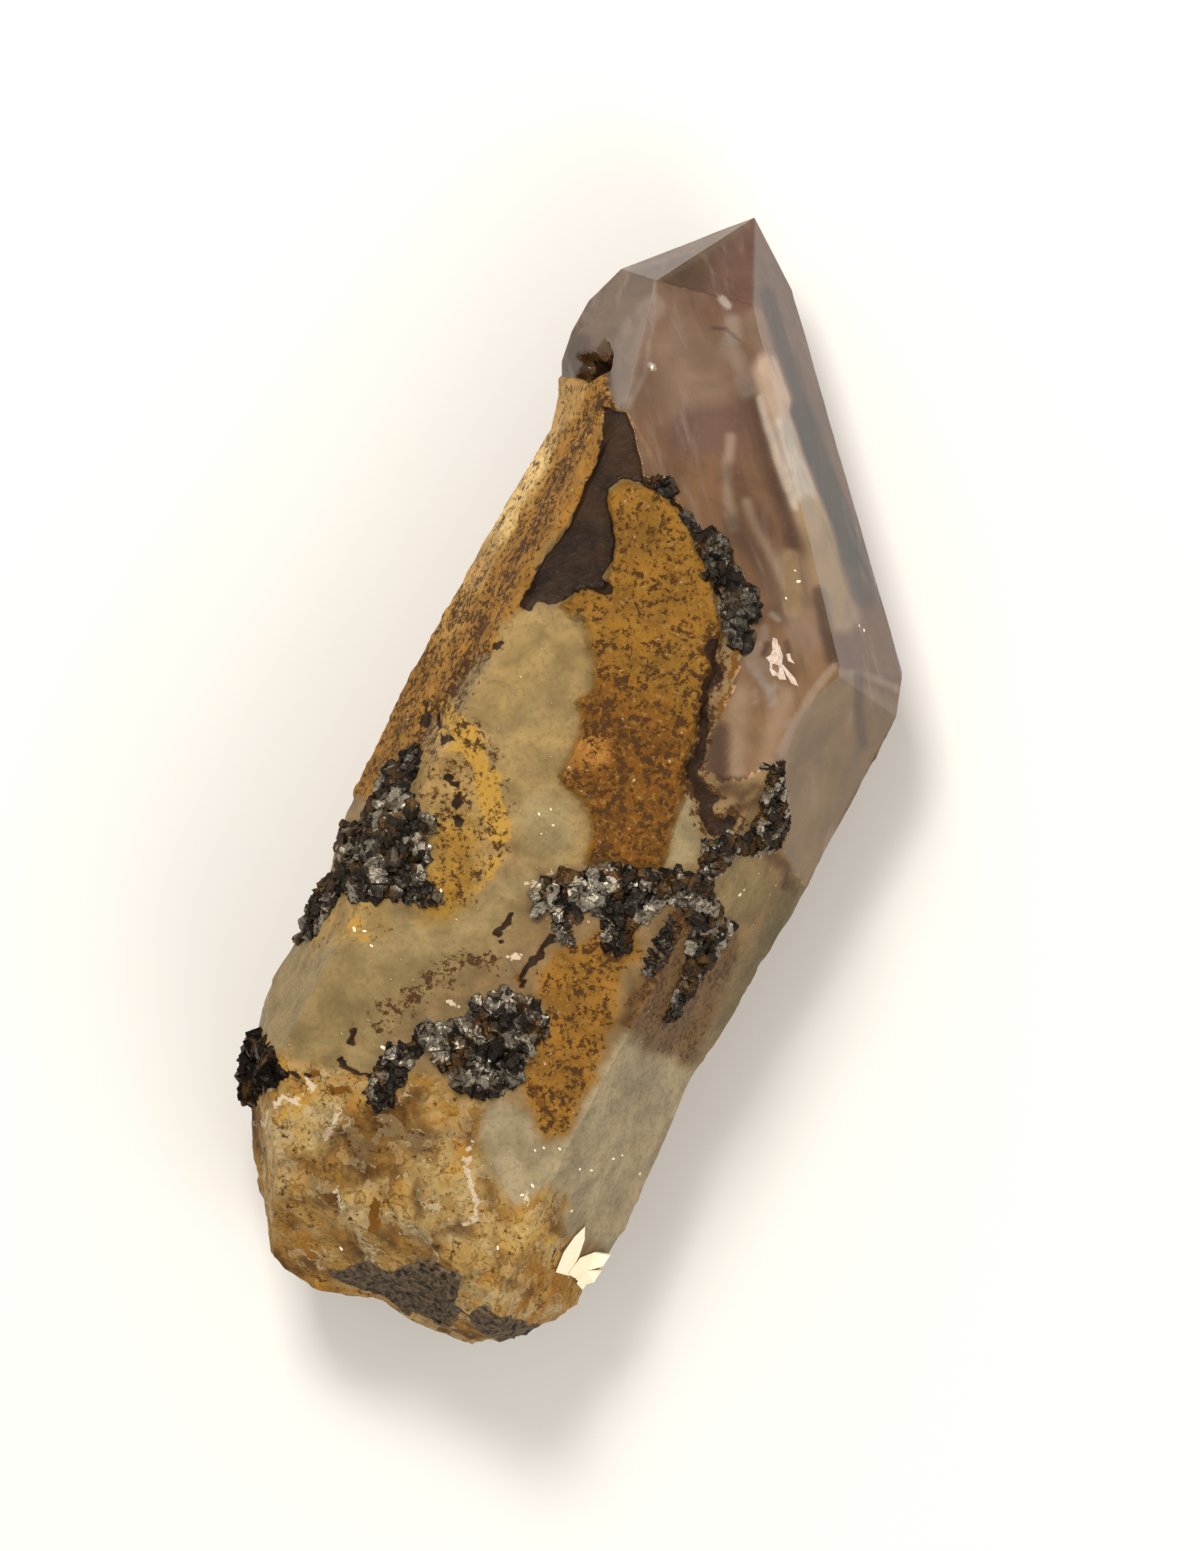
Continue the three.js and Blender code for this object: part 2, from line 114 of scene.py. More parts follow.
# Places on the front, as outlines.
CRUST_TOP = [
    (-15, 21.2), (-12.8, 21.2), (-12.2, 21.9), (-11.4, 22.1), (-10.9, 22.5), (-10.5, 21.8), (-9.8, 21),
]
CLEAR_TIP = CRUST_TOP + [
    (-8.7, 20.8), (-7.7, 19.8), (-6.5, 18.2), (-5.6, 17.6), (-4, 17.4), (-2.8, 16.8), (-1.2, 16.5),
    (0.2, 16.5), (1.2, 15.6), (2.4, 15.2), (3.9, 14), (4.3, 12.4), (4.5, 10.8), (5, 9), (5.1, 7),
    (5.4, 4.6), (6, 3.6), (7.2, 3.4), (8.2, 4.2), (9, 5.4), (9.9, 6.3), (10.5, 5.1), (12.2, 3.2),
    (12.6, 1.4), (16, -0.4), (16, 40), (-16, 40),
]
SLAB = [
    (-7.3, 16), (-6.9, 16.7), (-6, 17.2), (-4.6, 17.2), (-3.2, 16.8), (-2, 16), (-0.8, 15), (0.4, 14.2),
    (1.5, 13.2), (2.2, 12.3), (2.9, 11.2), (3.1, 9.6), (3.6, 8), (4, 6), (4.4, 4), (4.9, 2.3), (5.5, 1.2),
    (5.7, -0.6), (6.2, -2.8), (5, -3.6), (3.2, -4), (2, -4.9), (1.8, -3.4), (1, -2.4), (0, -1.5),
    (-1.8, -1), (-1.9, 0), (-1.8, 1.8), (-2.2, 3), (-3, 3.6), (-2.6, 5), (-3.2, 6.4), (-4.4, 7.4),
    (-5, 8.3), (-5.8, 7.9), (-6.8, 8.5), (-5.8, 10), (-4.8, 10.6), (-5.2, 12), (-5.6, 13.4), (-6.4, 14.5),
    (-6.9, 15.2),
]
LEFT_CRUST = CRUST_TOP + [
    (-9.4, 20), (-9, 18.5), (-8.9, 17), (-8.6, 14.5), (-8.5, 13), (-8.9, 11.5), (-9, 10), (-8.9, 7.2),
    (-9.3, 5.8), (-9.1, 4), (-9.9, 3), (-10.2, 1.5), (-10.3, -0.5), (-10.6, -2), (-10.4, -3.4),
    (-11.3, -5), (-11.8, -8), (-15, -8.4),
]
BROWN_PATCH = [
    (-10, 20.5), (-8.7, 20.7), (-7.8, 19.8), (-6.5, 18.4), (-5.9, 17.6), (-7.1, 16.9), (-7.5, 16.1),
    (-6.9, 15), (-6.2, 14.3), (-5.6, 13.4), (-5.2, 12.2), (-5.4, 11.1), (-4.4, 10.9), (-4.3, 10.3),
    (-5.8, 10), (-6.5, 9.2), (-7, 8.3), (-8.1, 7.9), (-8.3, 7), (-9, 7.1), (-9, 10), (-8.7, 11.6),
    (-8.5, 13), (-8.8, 15), (-9, 17), (-9.1, 18.7), (-9.7, 20),
]
PALE_PATCH = [
    (-8.9, 7.2), (-8, 7.7), (-6.6, 8.3), (-5.4, 7.9), (-4.4, 7), (-3.4, 5.8), (-2.9, 4.4), (-2.7, 3),
    (-1.9, 1), (-2, -0.6), (0, -1.6), (1, -2.6), (1.8, -4), (1.6, -5), (0.6, -6), (-0.6, -6.9), (-2, -6),
    (-3.6, -5), (-5, -3), (-7, -1.4), (-9, -0.6), (-10.3, 0), (-9.7, 2), (-9, 4), (-9.3, 6),
]
PALE_RIGHT = [(5.6, 1.6), (6.4, 1.8), (7.1, 0.6), (7.8, -0.4), (7.9, -1.9), (6.4, -2.6), (5.7, -0.6)]
YELLOW_STAIN = [
    (-10.3, -0.5), (-8, -0.4), (-5.6, -1.2), (-4.2, -3.2), (-3.3, -5), (-2.2, -6.6), (-2.5, -8),
    (-2.8, -10), (-4.2, -12), (-6.5, -12.3), (-6.3, -9), (-8, -7), (-9.6, -5.6), (-10.2, -3),
]
YELLOW_LINE = [(-10, -0.8), (-8.5, -1.4), (-7, -2.2), (-5.6, -3.4), (-4.6, -4.6), (-3.4, -5.7)]
STAIN_CORE = [(-5.6, -7.6), (-4.6, -9.4), (-4.9, -11.2)]
YELLOW_EDGE = [(-3.4, -6.4), (-2.5, -7.6), (-2.9, -10), (-4, -11.4)]
LOWER_OCHRE = [
    (3.2, -10), (4, -9.4), (4.6, -8.4), (6.8, -7.2), (7.5, -8.4), (7.4, -10), (8, -12), (8.1, -14),
    (8.7, -17), (8.9, -20.3), (7.6, -20.9), (6, -19.8), (4.9, -18.6), (4.3, -16), (4.5, -14.4),
    (3, -13.4), (2.6, -12.2),
]
LEFT_OCHRE = [(-10.6, -13.2), (-7.6, -12.8), (-6.4, -14), (-7.6, -15.8), (-9.6, -16.6), (-10.8, -18.2)]
PALE_END = [(-1.5, -3.5), (-0.6, -4.4)]
PINK_DIAGONAL = [(-5.4, -15), (-3.4, -12), (-1.6, -9.4), (-0.8, -7.6)]
SPECKLED_STREAK = [(-4.6, -19.2), (-3.6, -17.6), (-3, -15.8), (-1.8, -14), (-0.3, -13.2)]
RIGHT_OCHRE = [
    (9.4, -4.2), (13.2, -4.6), (13.6, -9), (13.9, -12.6), (12, -13.4), (9.4, -12.8), (8.2, -12.8),
    (7.9, -5),
]
RIGHT_SMEARS = [
    [(8.6, -5), (8.7, -7), (8.5, -9)], [(8.7, -10.4), (8.7, -12.4)],
    [(11.1, -6.4), (11.5, -8), (11.2, -9.4)], [(12.2, 1), (13.2, 0.5), (14.1, -0.3)],
    [(7.4, 2.8), (8.4, 3.4), (9.2, 4.2)], [(8.6, 2.2), (9.4, 3.2)],
]
RIGHT_PATCH = [(11.3, -2.1), (11.3, -1.5)]
GREY_FACE = [
    (8.9, -12.8), (10.6, -13.6), (14, -13.2), (16, -12.6), (16, -25.6), (14.9, -25.8), (13.4, -25.6),
    (12.3, -26.4), (11.3, -25.4), (10.4, -23.8), (9.6, -23.6), (8.6, -25.8), (5.6, -24.4), (4, -22.8),
    (3.4, -21), (4.4, -19.9), (6, -20.4), (7.6, -21.2), (9, -20.6), (8.9, -17),
]
OLIVE_FACE = [
    (-12.6, -12.6), (-9, -13), (-5, -12.6), (-3.2, -10.4), (-1, -7.6), (-0.2, -9.4), (0, -13), (-2, -15),
    (-3.4, -19.6), (-3.4, -22.8), (-6, -23.2), (-8, -24), (-11.4, -24.4), (-12.8, -20),
]
BASE = [
    (-16, -24.2), (-11, -24.3), (-8, -24.2), (-6, -23.4), (-4, -23), (-2.6, -23), (-1.4, -21.4),
    (0.4, -20.6), (2, -21.3), (3.5, -21), (4, -23), (5.4, -24.4), (8, -26), (9, -25), (9.6, -23.7),
    (10.4, -23.7), (11.2, -25.4), (12.3, -26.6), (12.3, -28.2), (16, -28), (16, -40), (-16, -40),
]
BASE_DARK = [
    (-0.4, -34.9), (0.8, -34.2), (1.6, -33.1), (3.4, -32.8), (4.6, -31.4), (5.4, -31), (7.3, -31),
    (7.8, -32.6), (8.8, -33), (9.2, -32.2), (11, -32), (13.7, -31.9), (12.7, -33), (11.6, -34.2),
    (10, -33.9), (8.4, -33.2), (8, -34.5), (6.4, -34.9), (3.6, -35), (1, -35.4),
]
BASE_ORANGE = [(9.4, -28), (12.4, -28.2), (13.4, -29.6), (13, -31.4), (10.6, -31), (9.2, -29.6)]
BASE_YELLOW = [
    (6.4, -27), (8.4, -26.6), (9.4, -24.6), (10.6, -24.4), (11.6, -26.8), (10, -28.4), (8.6, -29.6),
    (6.6, -29.2),
]
CONTACT_LINE = [
    (2.5, 10.8), (3, 10), (3.6, 9), (3.4, 8.3), (3.9, 7.3), (4.4, 6), (4.9, 5), (5.3, 3.9), (5, 3),
    (5.8, 2.5), (7, 2.2), (7.4, 1.2), (8.2, 0.6), (8.8, 1.6),
]
AMBER_LINES = [[(4.1, 11.4), (4.5, 9.6), (4.9, 8.2), (5, 7)], [(-3.4, 17.6), (-2.8, 17.3)]]
ORANGE_SPOT = [(-0.9, 1), (-0.7, 1.3)]
DARK_MARKS = [
    [(-7.2, 17), (-6.2, 17.7), (-5, 17.6), (-3.6, 17.3), (-2.4, 16.6)], [(-10.2, -1.5), (-9.9, -1.9)],
    [(-9.3, -2.2), (-8.8, -2.4)], [(-8, -4.4), (-7.3, -4.4)], [(-6.9, -4.9), (-6.5, -5.6)],
    [(-6.3, -6), (-6, -6.2)], [(-7.6, -6.9), (-6.9, -7)], [(-5.7, -20.4), (-5.6, -21.4)],
    [(-0.6, -9.9), (-0.8, -11.4), (-0.3, -11.6)], [(2.6, -10), (2.3, -11.2), (1.6, -12.5), (2.3, -13.4)],
    [(-3.5, -22.9), (-4.6, -22.9), (-5.8, -22.8)], [(-7, -24.4), (-8.3, -25.2)],
    [(-10.8, -0.6), (-10.7, -2)], [(-9.2, 4.2), (-8.8, 4.6)],
]
ORANGE_MARKS = [
    [(0.5, -29.2), (1.1, -30.8)], [(-7, -24.5), (-6.6, -24.3)], [(-5.2, -24.6), (-4.6, -24.3)],
    [(1.7, -13), (2.2, -13.3)], [(8, 1.6), (8.4, 0.8)], [(0.8, -19.4), (1.2, -19.2)],
    [(5.6, -18.4), (6.8, -19.4)],
]
RUSTY_MARKS = [
    [(-3.5, -26.4), (-3.3, -28.8)], [(2.3, -27.2), (3, -28.6)],
    [(4.2, -29.6), (5.2, -28.9), (6.3, -28.1)], [(-4, -29.4), (-3.6, -30.6), (-3, -30.6)],
    [(-1.8, -24.6), (-2.4, -26.4), (-2.2, -28.6)], [(5.4, -24.8), (6.8, -26), (8, -26.4)],
    [(8.6, -28.6), (9.4, -30), (11.6, -30.2)], [(1.4, -29.9), (3.4, -30.4), (5.6, -30)],
]
WHITE_MARKS = [
    [(0.4, -12.1), (1.2, -11.7)], [(-0.5, -7.9), (0.1, -7.5)], [(0.4, -6.6), (0.6, -6.5)],
    [(-1.4, -16.7), (-0.8, -16.5)], [(-7.9, -26.9), (-7.6, -26.4), (-6.8, -26.1), (-6.4, -25.7)],
    [(-4.3, -25.5), (-4, -26.4), (-4, -27.4)],
    [(4, -23.4), (4.5, -25), (5.4, -26), (6, -26.6), (6.3, -27.3), (5.9, -28)],
    [(-6.9, -24.9), (-6.3, -25.3)], [(-8.1, -27.6), (-8.1, -28.8)], [(-2.2, -29.8), (-1, -30.6)],
    [(8.3, -24.6), (8.7, -25.2)],
]
PLATES = [
    [(-8, -26.7), (-6.6, -26), (-5.6, -25), (-4.4, -25.2), (-3.9, -27), (-4.2, -29), (-6, -29.8),
     (-7.8, -29)],
    [(-0.4, -24), (1.6, -22.6), (3.9, -23.2), (4.5, -25.2), (6.3, -27.3), (6, -28), (3.6, -29.6),
     (0.6, -28.8)],
    [(-2.6, -29), (-0.4, -29.2), (-0.2, -32), (-1.6, -32.8), (-3, -31.6)],
]
DISHES = [
    (-5.9, -22.4, 3.4, 0.4), (8.2, -24.2, 3.4, 0.4), (-3.4, -27.6, 1.4, 0.6), (5.2, -33, 4.2, 0.6),
    (0.4, -11.2, 2.4, 0.3), (6.9, 4.6, 2.6, 0.4), (-6.6, -8, 2.6, 0.4), (-5.5, 4, 3.2, 0.3),
]
# The dark hole under the cap's rim: dented in, and painted dark brown as painted shade.
CAVITY = [
    (-12, 24.2), (-11.5, 23.5), (-11.1, 22.7), (-11.3, 21.9), (-12, 21.4), (-12.6, 21.6), (-12.4, 22.5),
    (-13.1, 22.8), (-12.5, 23.2), (-12.2, 23.2),
]

# Marks painted into the clear tip: line, half width, feather, colour, strength. Many are painted light:
# highlights and reflections on the facets and along their edges, and painted shade in the dark bands. The
# veils, the clouds round the sprig, violet and brown are the tip's own.
TIP_SHADES = [
    ([(-6.6, 34), (-5.8, 31.6)], 1.5, 1.8, "violet", 0.7),
    ([(-5, 33.6), (-1, 29.8), (3, 25.6), (8, 20.2)], 0.5, 0.9, "rose", 0.9),
    ([(-7, 25.6), (-5.4, 23.6)], 1.3, 2.2, "clear_light", 0.8),
    ([(-4.6, 21.6), (-3, 23)], 0.9, 1.3, "violet", 0.7),
    ([(-2.2, 25.8), (0.6, 22.8), (3.2, 20.4), (5.6, 17.6)], 0.5, 1.0, "veil_dark", 0.6),
    ([(5, 16.6), (7.4, 14.2)], 0.9, 1.3, "clear_light", 0.8),
    ([(-12.4, 28), (-12.6, 24.6)], 0.6, 1.3, "left_light", 0.7),
    # Painted highlights along the edges of the left facets.
    ([(-10.4, 27.4), (-10.9, 25.6), (-10.3, 23.6), (-9.6, 21.8)], 0.45, 0.7, "haze_and_highlight", 0.55),
    ([(-12.8, 29.2), (-10.6, 32), (-8.4, 34.6)], 0.2, 0.5, "left_light", 0.8),
    ([(-4.4, 29.8), (-2.6, 27.9)], 0.4, 0.9, "clear_light", 0.8),
    # Painted reflections of the back faces seen through the glass: the pink and gold bands with their
    # brightest lines along the ridge. The dark bands beside them are painted shade.
    ([(-2.2, 27.4), (-0.6, 25.7), (1, 23.9), (2.8, 22.2), (4.6, 20.6)], 0.65, 0.9, "pink_band", 0.95),
    ([(0.2, 24.6), (2, 22.9), (3.6, 21.4)], 0.35, 0.6, "bright", 0.75),
    ([(4.4, 20.8), (6.4, 18.6), (8.8, 16.2)], 0.8, 0.8, "gold_band", 0.9),
    ([(-2, 25.6), (-0.2, 23.7), (1.6, 21.9), (3.2, 20.6)], 0.1, 0.2, "bright", 0.6),
    ([(-4.6, 31.8), (-2.3, 29.4), (0, 27.2), (1.4, 25.8)], 0.25, 0.5, "dark_band", 0.7),
    ([(0.8, 26.3), (3, 24.2), (4.6, 22.8), (6.4, 21.3), (8, 19.8)], 0.5, 0.5, "dark_band", 1.0),
    ([(7.6, 20.2), (9.6, 18.2)], 0.5, 0.8, "dark_band", 0.6),
    ([(-2.4, 22.5), (-1.7, 20.7), (-0.7, 19), (0.4, 17.6)], 0.06, 0.5, "veil_light", 0.75),
    ([(-1.4, 20.6), (0.8, 19.2), (2.2, 18.4)], 0.15, 0.8, "veil_dark", 0.4),
    ([(0.4, 19.4), (1.8, 18.1), (3.2, 17.2), (4.8, 16)], 0.05, 0.5, "veil_light", 0.6),
    ([(0.4, 17.8), (2.4, 16.7), (4.4, 15.3), (5.6, 14.2)], 0.2, 0.8, "veil_dark", 0.4),
    # Painted reflection: the gold band again, lower down.
    ([(4.4, 17.6), (5.2, 16.2), (6, 14.9)], 0.35, 0.5, "gold_band", 0.85),
    ([(7, 16.6), (8.4, 14.8), (9.6, 13.4)], 0.2, 0.5, "veil_dark", 0.6),
    ([(5.6, 8.8), (6.6, 6.4), (7.6, 4.4)], 0.1, 0.9, "veil_light", 0.5),
    ([(8.2, 10), (8.4, 7.4), (9, 5.4)], 0.1, 0.8, "veil_light", 0.45),
    ([(5.4, 6), (6.4, 4.2)], 0.4, 0.7, "veil_dark", 0.8),
    ([(7, 3), (8.2, 3.4), (9.2, 4)], 0.5, 0.5, "brown", 0.85),
    ([(9.9, 13), (9.5, 11), (9.3, 8.4), (9.6, 6.6)], 0.12, 0.25, "veil_light", 0.7),
    # Painted highlight along the edge of the right shoulder.
    ([(10.5, 12.9), (12, 13.6), (14.8, 13.9)], 0.12, 0.25, "haze_and_highlight", 0.6),
    ([(11.6, 13.2), (12.6, 11.4), (13.8, 9.8)], 0.15, 0.3, "veil_dark", 0.6),
    # Painted highlight: the bright patch near the tip and the softer spot below it.
    ([(-6.9, 30), (-6.4, 29.8)], 0.15, 0.2, "bright", 0.8),
    ([(-5.6, 29), (-5.2, 28.2)], 0.25, 0.6, "haze_and_highlight", 0.7),
    ([(-6.6, 28), (-5.8, 28.4), (-4.8, 28.2)], 0.04, 0.12, "dark_band", 0.35),
    ([(5, 11), (6, 10.9), (7, 10.9)], 0.15, 0.4, "haze_and_highlight", 0.5),
    ([(5.3, 10.6), (6.3, 10.1), (7.2, 9.7), (7.6, 9.2)], 0.16, 0.25, "haze_and_highlight", 0.75),
    ([(6.8, 9.9), (7.3, 10.2)], 0.12, 0.2, "haze_and_highlight", 0.7),
    ([(5, 13), (5.35, 12.3), (5.2, 11.5)], 0.16, 0.2, "haze_and_highlight", 0.55),
    ([(6.4, 9.3), (6.6, 8.7)], 0.06, 0.2, "haze_and_highlight", 0.6),
    ([(9, 8.6), (9.4, 8.4)], 0.06, 0.2, "haze_and_highlight", 0.6),
    ([(5, 14), (5.5, 13.9)], 0.08, 0.2, "haze_and_highlight", 0.7),
    ([(5.6, 12.2), (5.7, 11.6)], 0.1, 0.2, "veil_dark", 0.6),
    ([(6.6, 12.9), (7, 12.5)], 0.1, 0.25, "veil_dark", 0.5),
    ([(-5.3, 27.6), (-4, 26.9), (-3, 25.6)], 0.25, 0.6, "haze_and_highlight", 0.5),
    # A painted glint, and painted highlights along the edges of the left facets.
    ([(-8.8, 24.1), (-8.6, 24)], 0.1, 0.12, "bright", 1.0),
    ([(-11, 28.8), (-10.3, 27.2), (-9.5, 25.2), (-8.9, 23.4), (-8.8, 21)], 0.06, 0.2, "haze_and_highlight", 0.5),
    ([(-10.9, 29), (-9.4, 31.8), (-7.7, 35.2)], 0.08, 0.2, "left_light", 0.6),
    ([(-13.4, 23.6), (-13.2, 22.2), (-12.8, 21.4)], 0.3, 0.5, "brown", 0.5),
]
# Painted glints: tiny white specks set where the surface sparkles: x, y, radius.
GLINTS = [
    (5.5, 16.6, 0.16), (5.0, 17.1, 0.1), (5.3, 15.3, 0.1), (10.6, 16, 0.12), (10.2, 16.1, 0.08),
    (-8.7, 24, 0.14), (-3.6, -20.8, 0.2), (8.9, -21.2, 0.12), (8, -21.6, 0.1), (7.6, -22, 0.1),
    (11.3, -21.6, 0.14), (10.6, -21.8, 0.12), (12.2, -20.4, 0.14), (12.6, -20, 0.1), (8.5, -24, 0.16),
    (8.2, -24.8, 0.14), (11.4, -2.2, 0.18), (11.5, -1.8, 0.1), (-5, -10.6, 0.14), (-8.6, -15.2, 0.18),
    (-8, -15, 0.14), (-7.2, -15.6, 0.12), (8.4, -28.4, 0.14), (-0.1, -33.2, 0.16), (-1.4, -3, 0.1),
    (-1.9, -3.6, 0.12), (-0.8, -3.8, 0.1), (-1.2, -4.6, 0.09), (11.4, -24.4, 0.14), (14.2, -20.6, 0.12),
]

# Colours as they look in the light, the curve that makes them linear and the stone's share of them.
GAMMA = 2.2
STONE_SHARE = 0.62
PALETTE = {
    "milky": (0.60, 0.49, 0.33), "pale": (0.69, 0.58, 0.37), "pale_low": (0.67, 0.6, 0.44),
    "tan": (0.74, 0.6, 0.36), "yellow": (0.62, 0.44, 0.14), "olive": (0.62, 0.53, 0.35),
    "pink": (0.7, 0.6, 0.41), "grey": (0.7, 0.63, 0.49), "base": (0.74, 0.57, 0.29),
    "base_orange": (0.72, 0.47, 0.14), "plate": (0.8, 0.675, 0.43), "smear": (0.36, 0.25, 0.14),
    "base_shadow_and_crack": (0.36, 0.24, 0.11), "cream": (0.88, 0.8, 0.62), "shaded_edge_olive": (0.46, 0.41, 0.29),
    "orange": (0.86, 0.59, 0.29), "left_ochre": (0.7, 0.5, 0.22), "stain_yellow": (0.68, 0.49, 0.13),
    "base_yellow": (0.92, 0.74, 0.4), "ochre": (0.62, 0.44, 0.16), "ochre_low": (0.52, 0.33, 0.1),
    "left_tan": (0.98, 0.82, 0.53), "ochre_strip": (0.64, 0.45, 0.17), "ochre_tan": (0.72, 0.6, 0.38),
    "translucent": (0.5, 0.38, 0.22), "clear": (0.65, 0.51, 0.42), "clear_light": (0.72, 0.59, 0.48),
    "clear_low": (0.68, 0.52, 0.37), "violet": (0.56, 0.41, 0.36), "rose": (0.52, 0.38, 0.31),
    "shaded_left_facet": (0.44, 0.32, 0.22), "left_light": (0.58, 0.47, 0.37), "shaded_right_strip": (0.48, 0.28, 0.13),
    "haze_and_highlight": (0.78, 0.7, 0.64), "pink_band": (0.98, 0.84, 0.72), "gold_band": (0.78, 0.64, 0.46),
    "bright": (1.0, 0.95, 0.88), "dark_band": (0.2, 0.13, 0.12), "veil_light": (0.84, 0.72, 0.62),
    "veil_dark": (0.36, 0.26, 0.2), "brown": (0.24, 0.14, 0.07), "right_face": (0.64, 0.5, 0.32),
}
# What colours the cloudy stone, from below: outline, feather, colour.
STONE_AREAS = [
    (OLIVE_FACE, 0.6, "olive"), (YELLOW_STAIN, 0.5, "tan"), (PALE_PATCH, 0.5, "pale"),
    (PALE_RIGHT, 0.3, "pale_low"), (RIGHT_OCHRE, 0.6, "translucent"), (GREY_FACE, 0.4, "grey"),
    (BASE, 0.5, "base"), (BASE_ORANGE, 0.9, "base_orange"), (BASE_YELLOW, 0.8, "base_yellow"),
    (SLAB, 0.2, "ochre"), (LEFT_CRUST, 0.2, "left_ochre"), (LOWER_OCHRE, 0.4, "ochre_strip"),
    (LEFT_OCHRE, 0.9, "ochre_tan"),
]

# Goethite: the outlines of each growth's patches, each with its usual grain radius.
GROWTHS = {
    "goethite_string": [
        (0.42, [(-2.7, 16.6), (-1.4, 16.4), (-0.2, 16.7), (0.5, 16.2), (1.2, 15.4), (2.2, 15.3),
                (3.2, 14.7), (4, 13.8), (4.3, 12.6), (4.2, 11.5), (3.5, 11.4), (2.9, 12), (2.3, 12.8),
                (1.5, 13.6), (0.5, 14.3), (-0.5, 15.1), (-1.6, 15.9)]),
        (0.26, [(-5.8, 17.5), (-4.7, 18.2), (-3.8, 18.2), (-4, 17.4), (-5, 17.3)]),
    ],
    "goethite_left_cluster": [
        (0.42, [(-11, -5), (-10, -5), (-9.8, -6.4), (-8.8, -7), (-7.4, -7), (-7.2, -8.4), (-6.5, -9.6),
                (-6.5, -11.6), (-8.2, -12.6), (-9.2, -13.2), (-10.6, -13.2), (-11.4, -12.6),
                (-12.2, -11.2), (-12.3, -10), (-11.2, -9.8), (-11.4, -8.4), (-11.2, -6.8), (-11.6, -5.6)]),
        (0.28, [(-10.8, -3.6), (-10.1, -3.8), (-9.9, -5.2), (-11, -5.2)]),
        (0.24, [(-6.6, -10.8), (-5.2, -10.6), (-4.5, -11.2), (-5.4, -11.8), (-6.8, -12.2)]),
        (0.32, [(-11.9, -13.2), (-10.6, -13.3), (-10.6, -15.8), (-11, -17.4), (-11.6, -17.6),
                (-11.8, -16)]),
    ],
    "goethite_centre_band": [
        (0.42, [(0, -8.2), (0.4, -7), (1, -6), (2.2, -5.6), (3, -5.2), (3.2, -4.4), (4.6, -4), (6, -3.6),
                (6.6, -2.8), (7.8, -2.4), (9.2, -2.4), (10, -3.4), (9.6, -4.9), (8.4, -4.4), (7.2, -4.6),
                (6.8, -5.6), (6.8, -6.8), (6, -7), (4.4, -7.2), (3.2, -7.6), (2.6, -8.8), (1.8, -8.6),
                (0.8, -8.6)]),
        (0.36, [(9.4, -3), (11, -4), (11.8, -4.4), (12, -5.6), (11.8, -7), (11.4, -7.6), (10.6, -7.4),
                (10.2, -6.2), (9.4, -4.9)]),
        (0.22, [(10.6, -7.4), (11.6, -7.4), (11.7, -9), (11.4, -11), (10.9, -11), (10.8, -9.4)]),
        (0.3, [(5, -7.6), (6.4, -7.2), (6.7, -8.2), (5.8, -8.9), (5, -8.4)]),
        (0.2, [(2, -8.6), (3, -9), (3.5, -9.6), (2.8, -9.9), (2, -9.2)]),
        (0.16, [(8.1, -5.4), (9, -5.6), (9.2, -8), (8.6, -9.4), (8.1, -8.6)]),
    ],
    "goethite_right_patch": [
        (0.3, [(9.4, 5.8), (9.9, 6.2), (10.3, 5), (11.2, 4.2), (12, 3), (12.1, 1.4), (11.2, 0.6),
               (10, 0.2), (9.6, -0.6), (9.5, -2.2), (8.8, -2.4), (8.2, -1.6), (8.1, -0.4), (8.8, 0),
               (9.2, 0.8), (10, 0.9), (10.2, 2), (10, 3.6), (9.6, 4.8)]),
    ],
    "goethite_lower_cluster": [
        (0.36, [(0, -15.8), (0.8, -15), (1.8, -14), (2.6, -14), (3.6, -14.4), (4.8, -14.8), (4.6, -16),
                (4.4, -17.6), (4.6, -19.4), (3.8, -20), (3, -20.6), (1.4, -20.8), (0.6, -20.2),
                (-0.4, -20), (-1, -19), (-0.9, -17.8), (-0.2, -17)]),
        (0.32, [(-1, -17.8), (-2, -18), (-2.1, -18.8), (-2.4, -20), (-3.3, -20.4), (-3.4, -23.6),
                (-2.6, -24.4), (-1.8, -24), (-1.6, -21.8), (-1.8, -20.4), (-1, -19.4)]),
    ],
    "goethite_knob": [
        (0.38, [(-11.4, -24.4), (-10.6, -24), (-9.8, -24.4), (-8.8, -25), (-8.6, -25.8), (-9.1, -26.6),
                (-9.3, -28.2), (-9.9, -28.2), (-10.7, -27), (-11.2, -25.6)]),
        (0.25, [(-8.8, -25), (-8.3, -25.1), (-8.2, -25.5), (-8.7, -25.8)]),
    ],
}
# How light and rusty each growth is: how much painted sheen and rust it shows, near black at nought.
SHADES = {
    "goethite_string": 0.2, "goethite_left_cluster": 0.4, "goethite_centre_band": 0.5,
    "goethite_right_patch": 0.8, "goethite_lower_cluster": 0.45, "goethite_knob": 0.02,
}
SPRIG = [
    [(5.65, 12.8), (5.95, 12.85), (6.2, 12.65), (6.35, 12.35), (6.8, 12.05), (6.95, 11.6), (7.2, 11.3),
     (7.6, 11.05), (8.15, 11.15), (8.35, 11), (8.6, 10.8), (8.1, 10.75), (7.7, 10.8), (7.3, 10.62),
     (7.05, 10.75), (6.8, 10.6), (6.45, 10.85), (6.25, 11.25), (5.85, 11.45), (6.05, 11.75), (6, 12.1),
     (5.8, 12.4)],
    [(6.9, 12.25), (7.1, 12.4), (7.3, 12.15), (7.7, 11.95), (7.2, 11.9)],
]
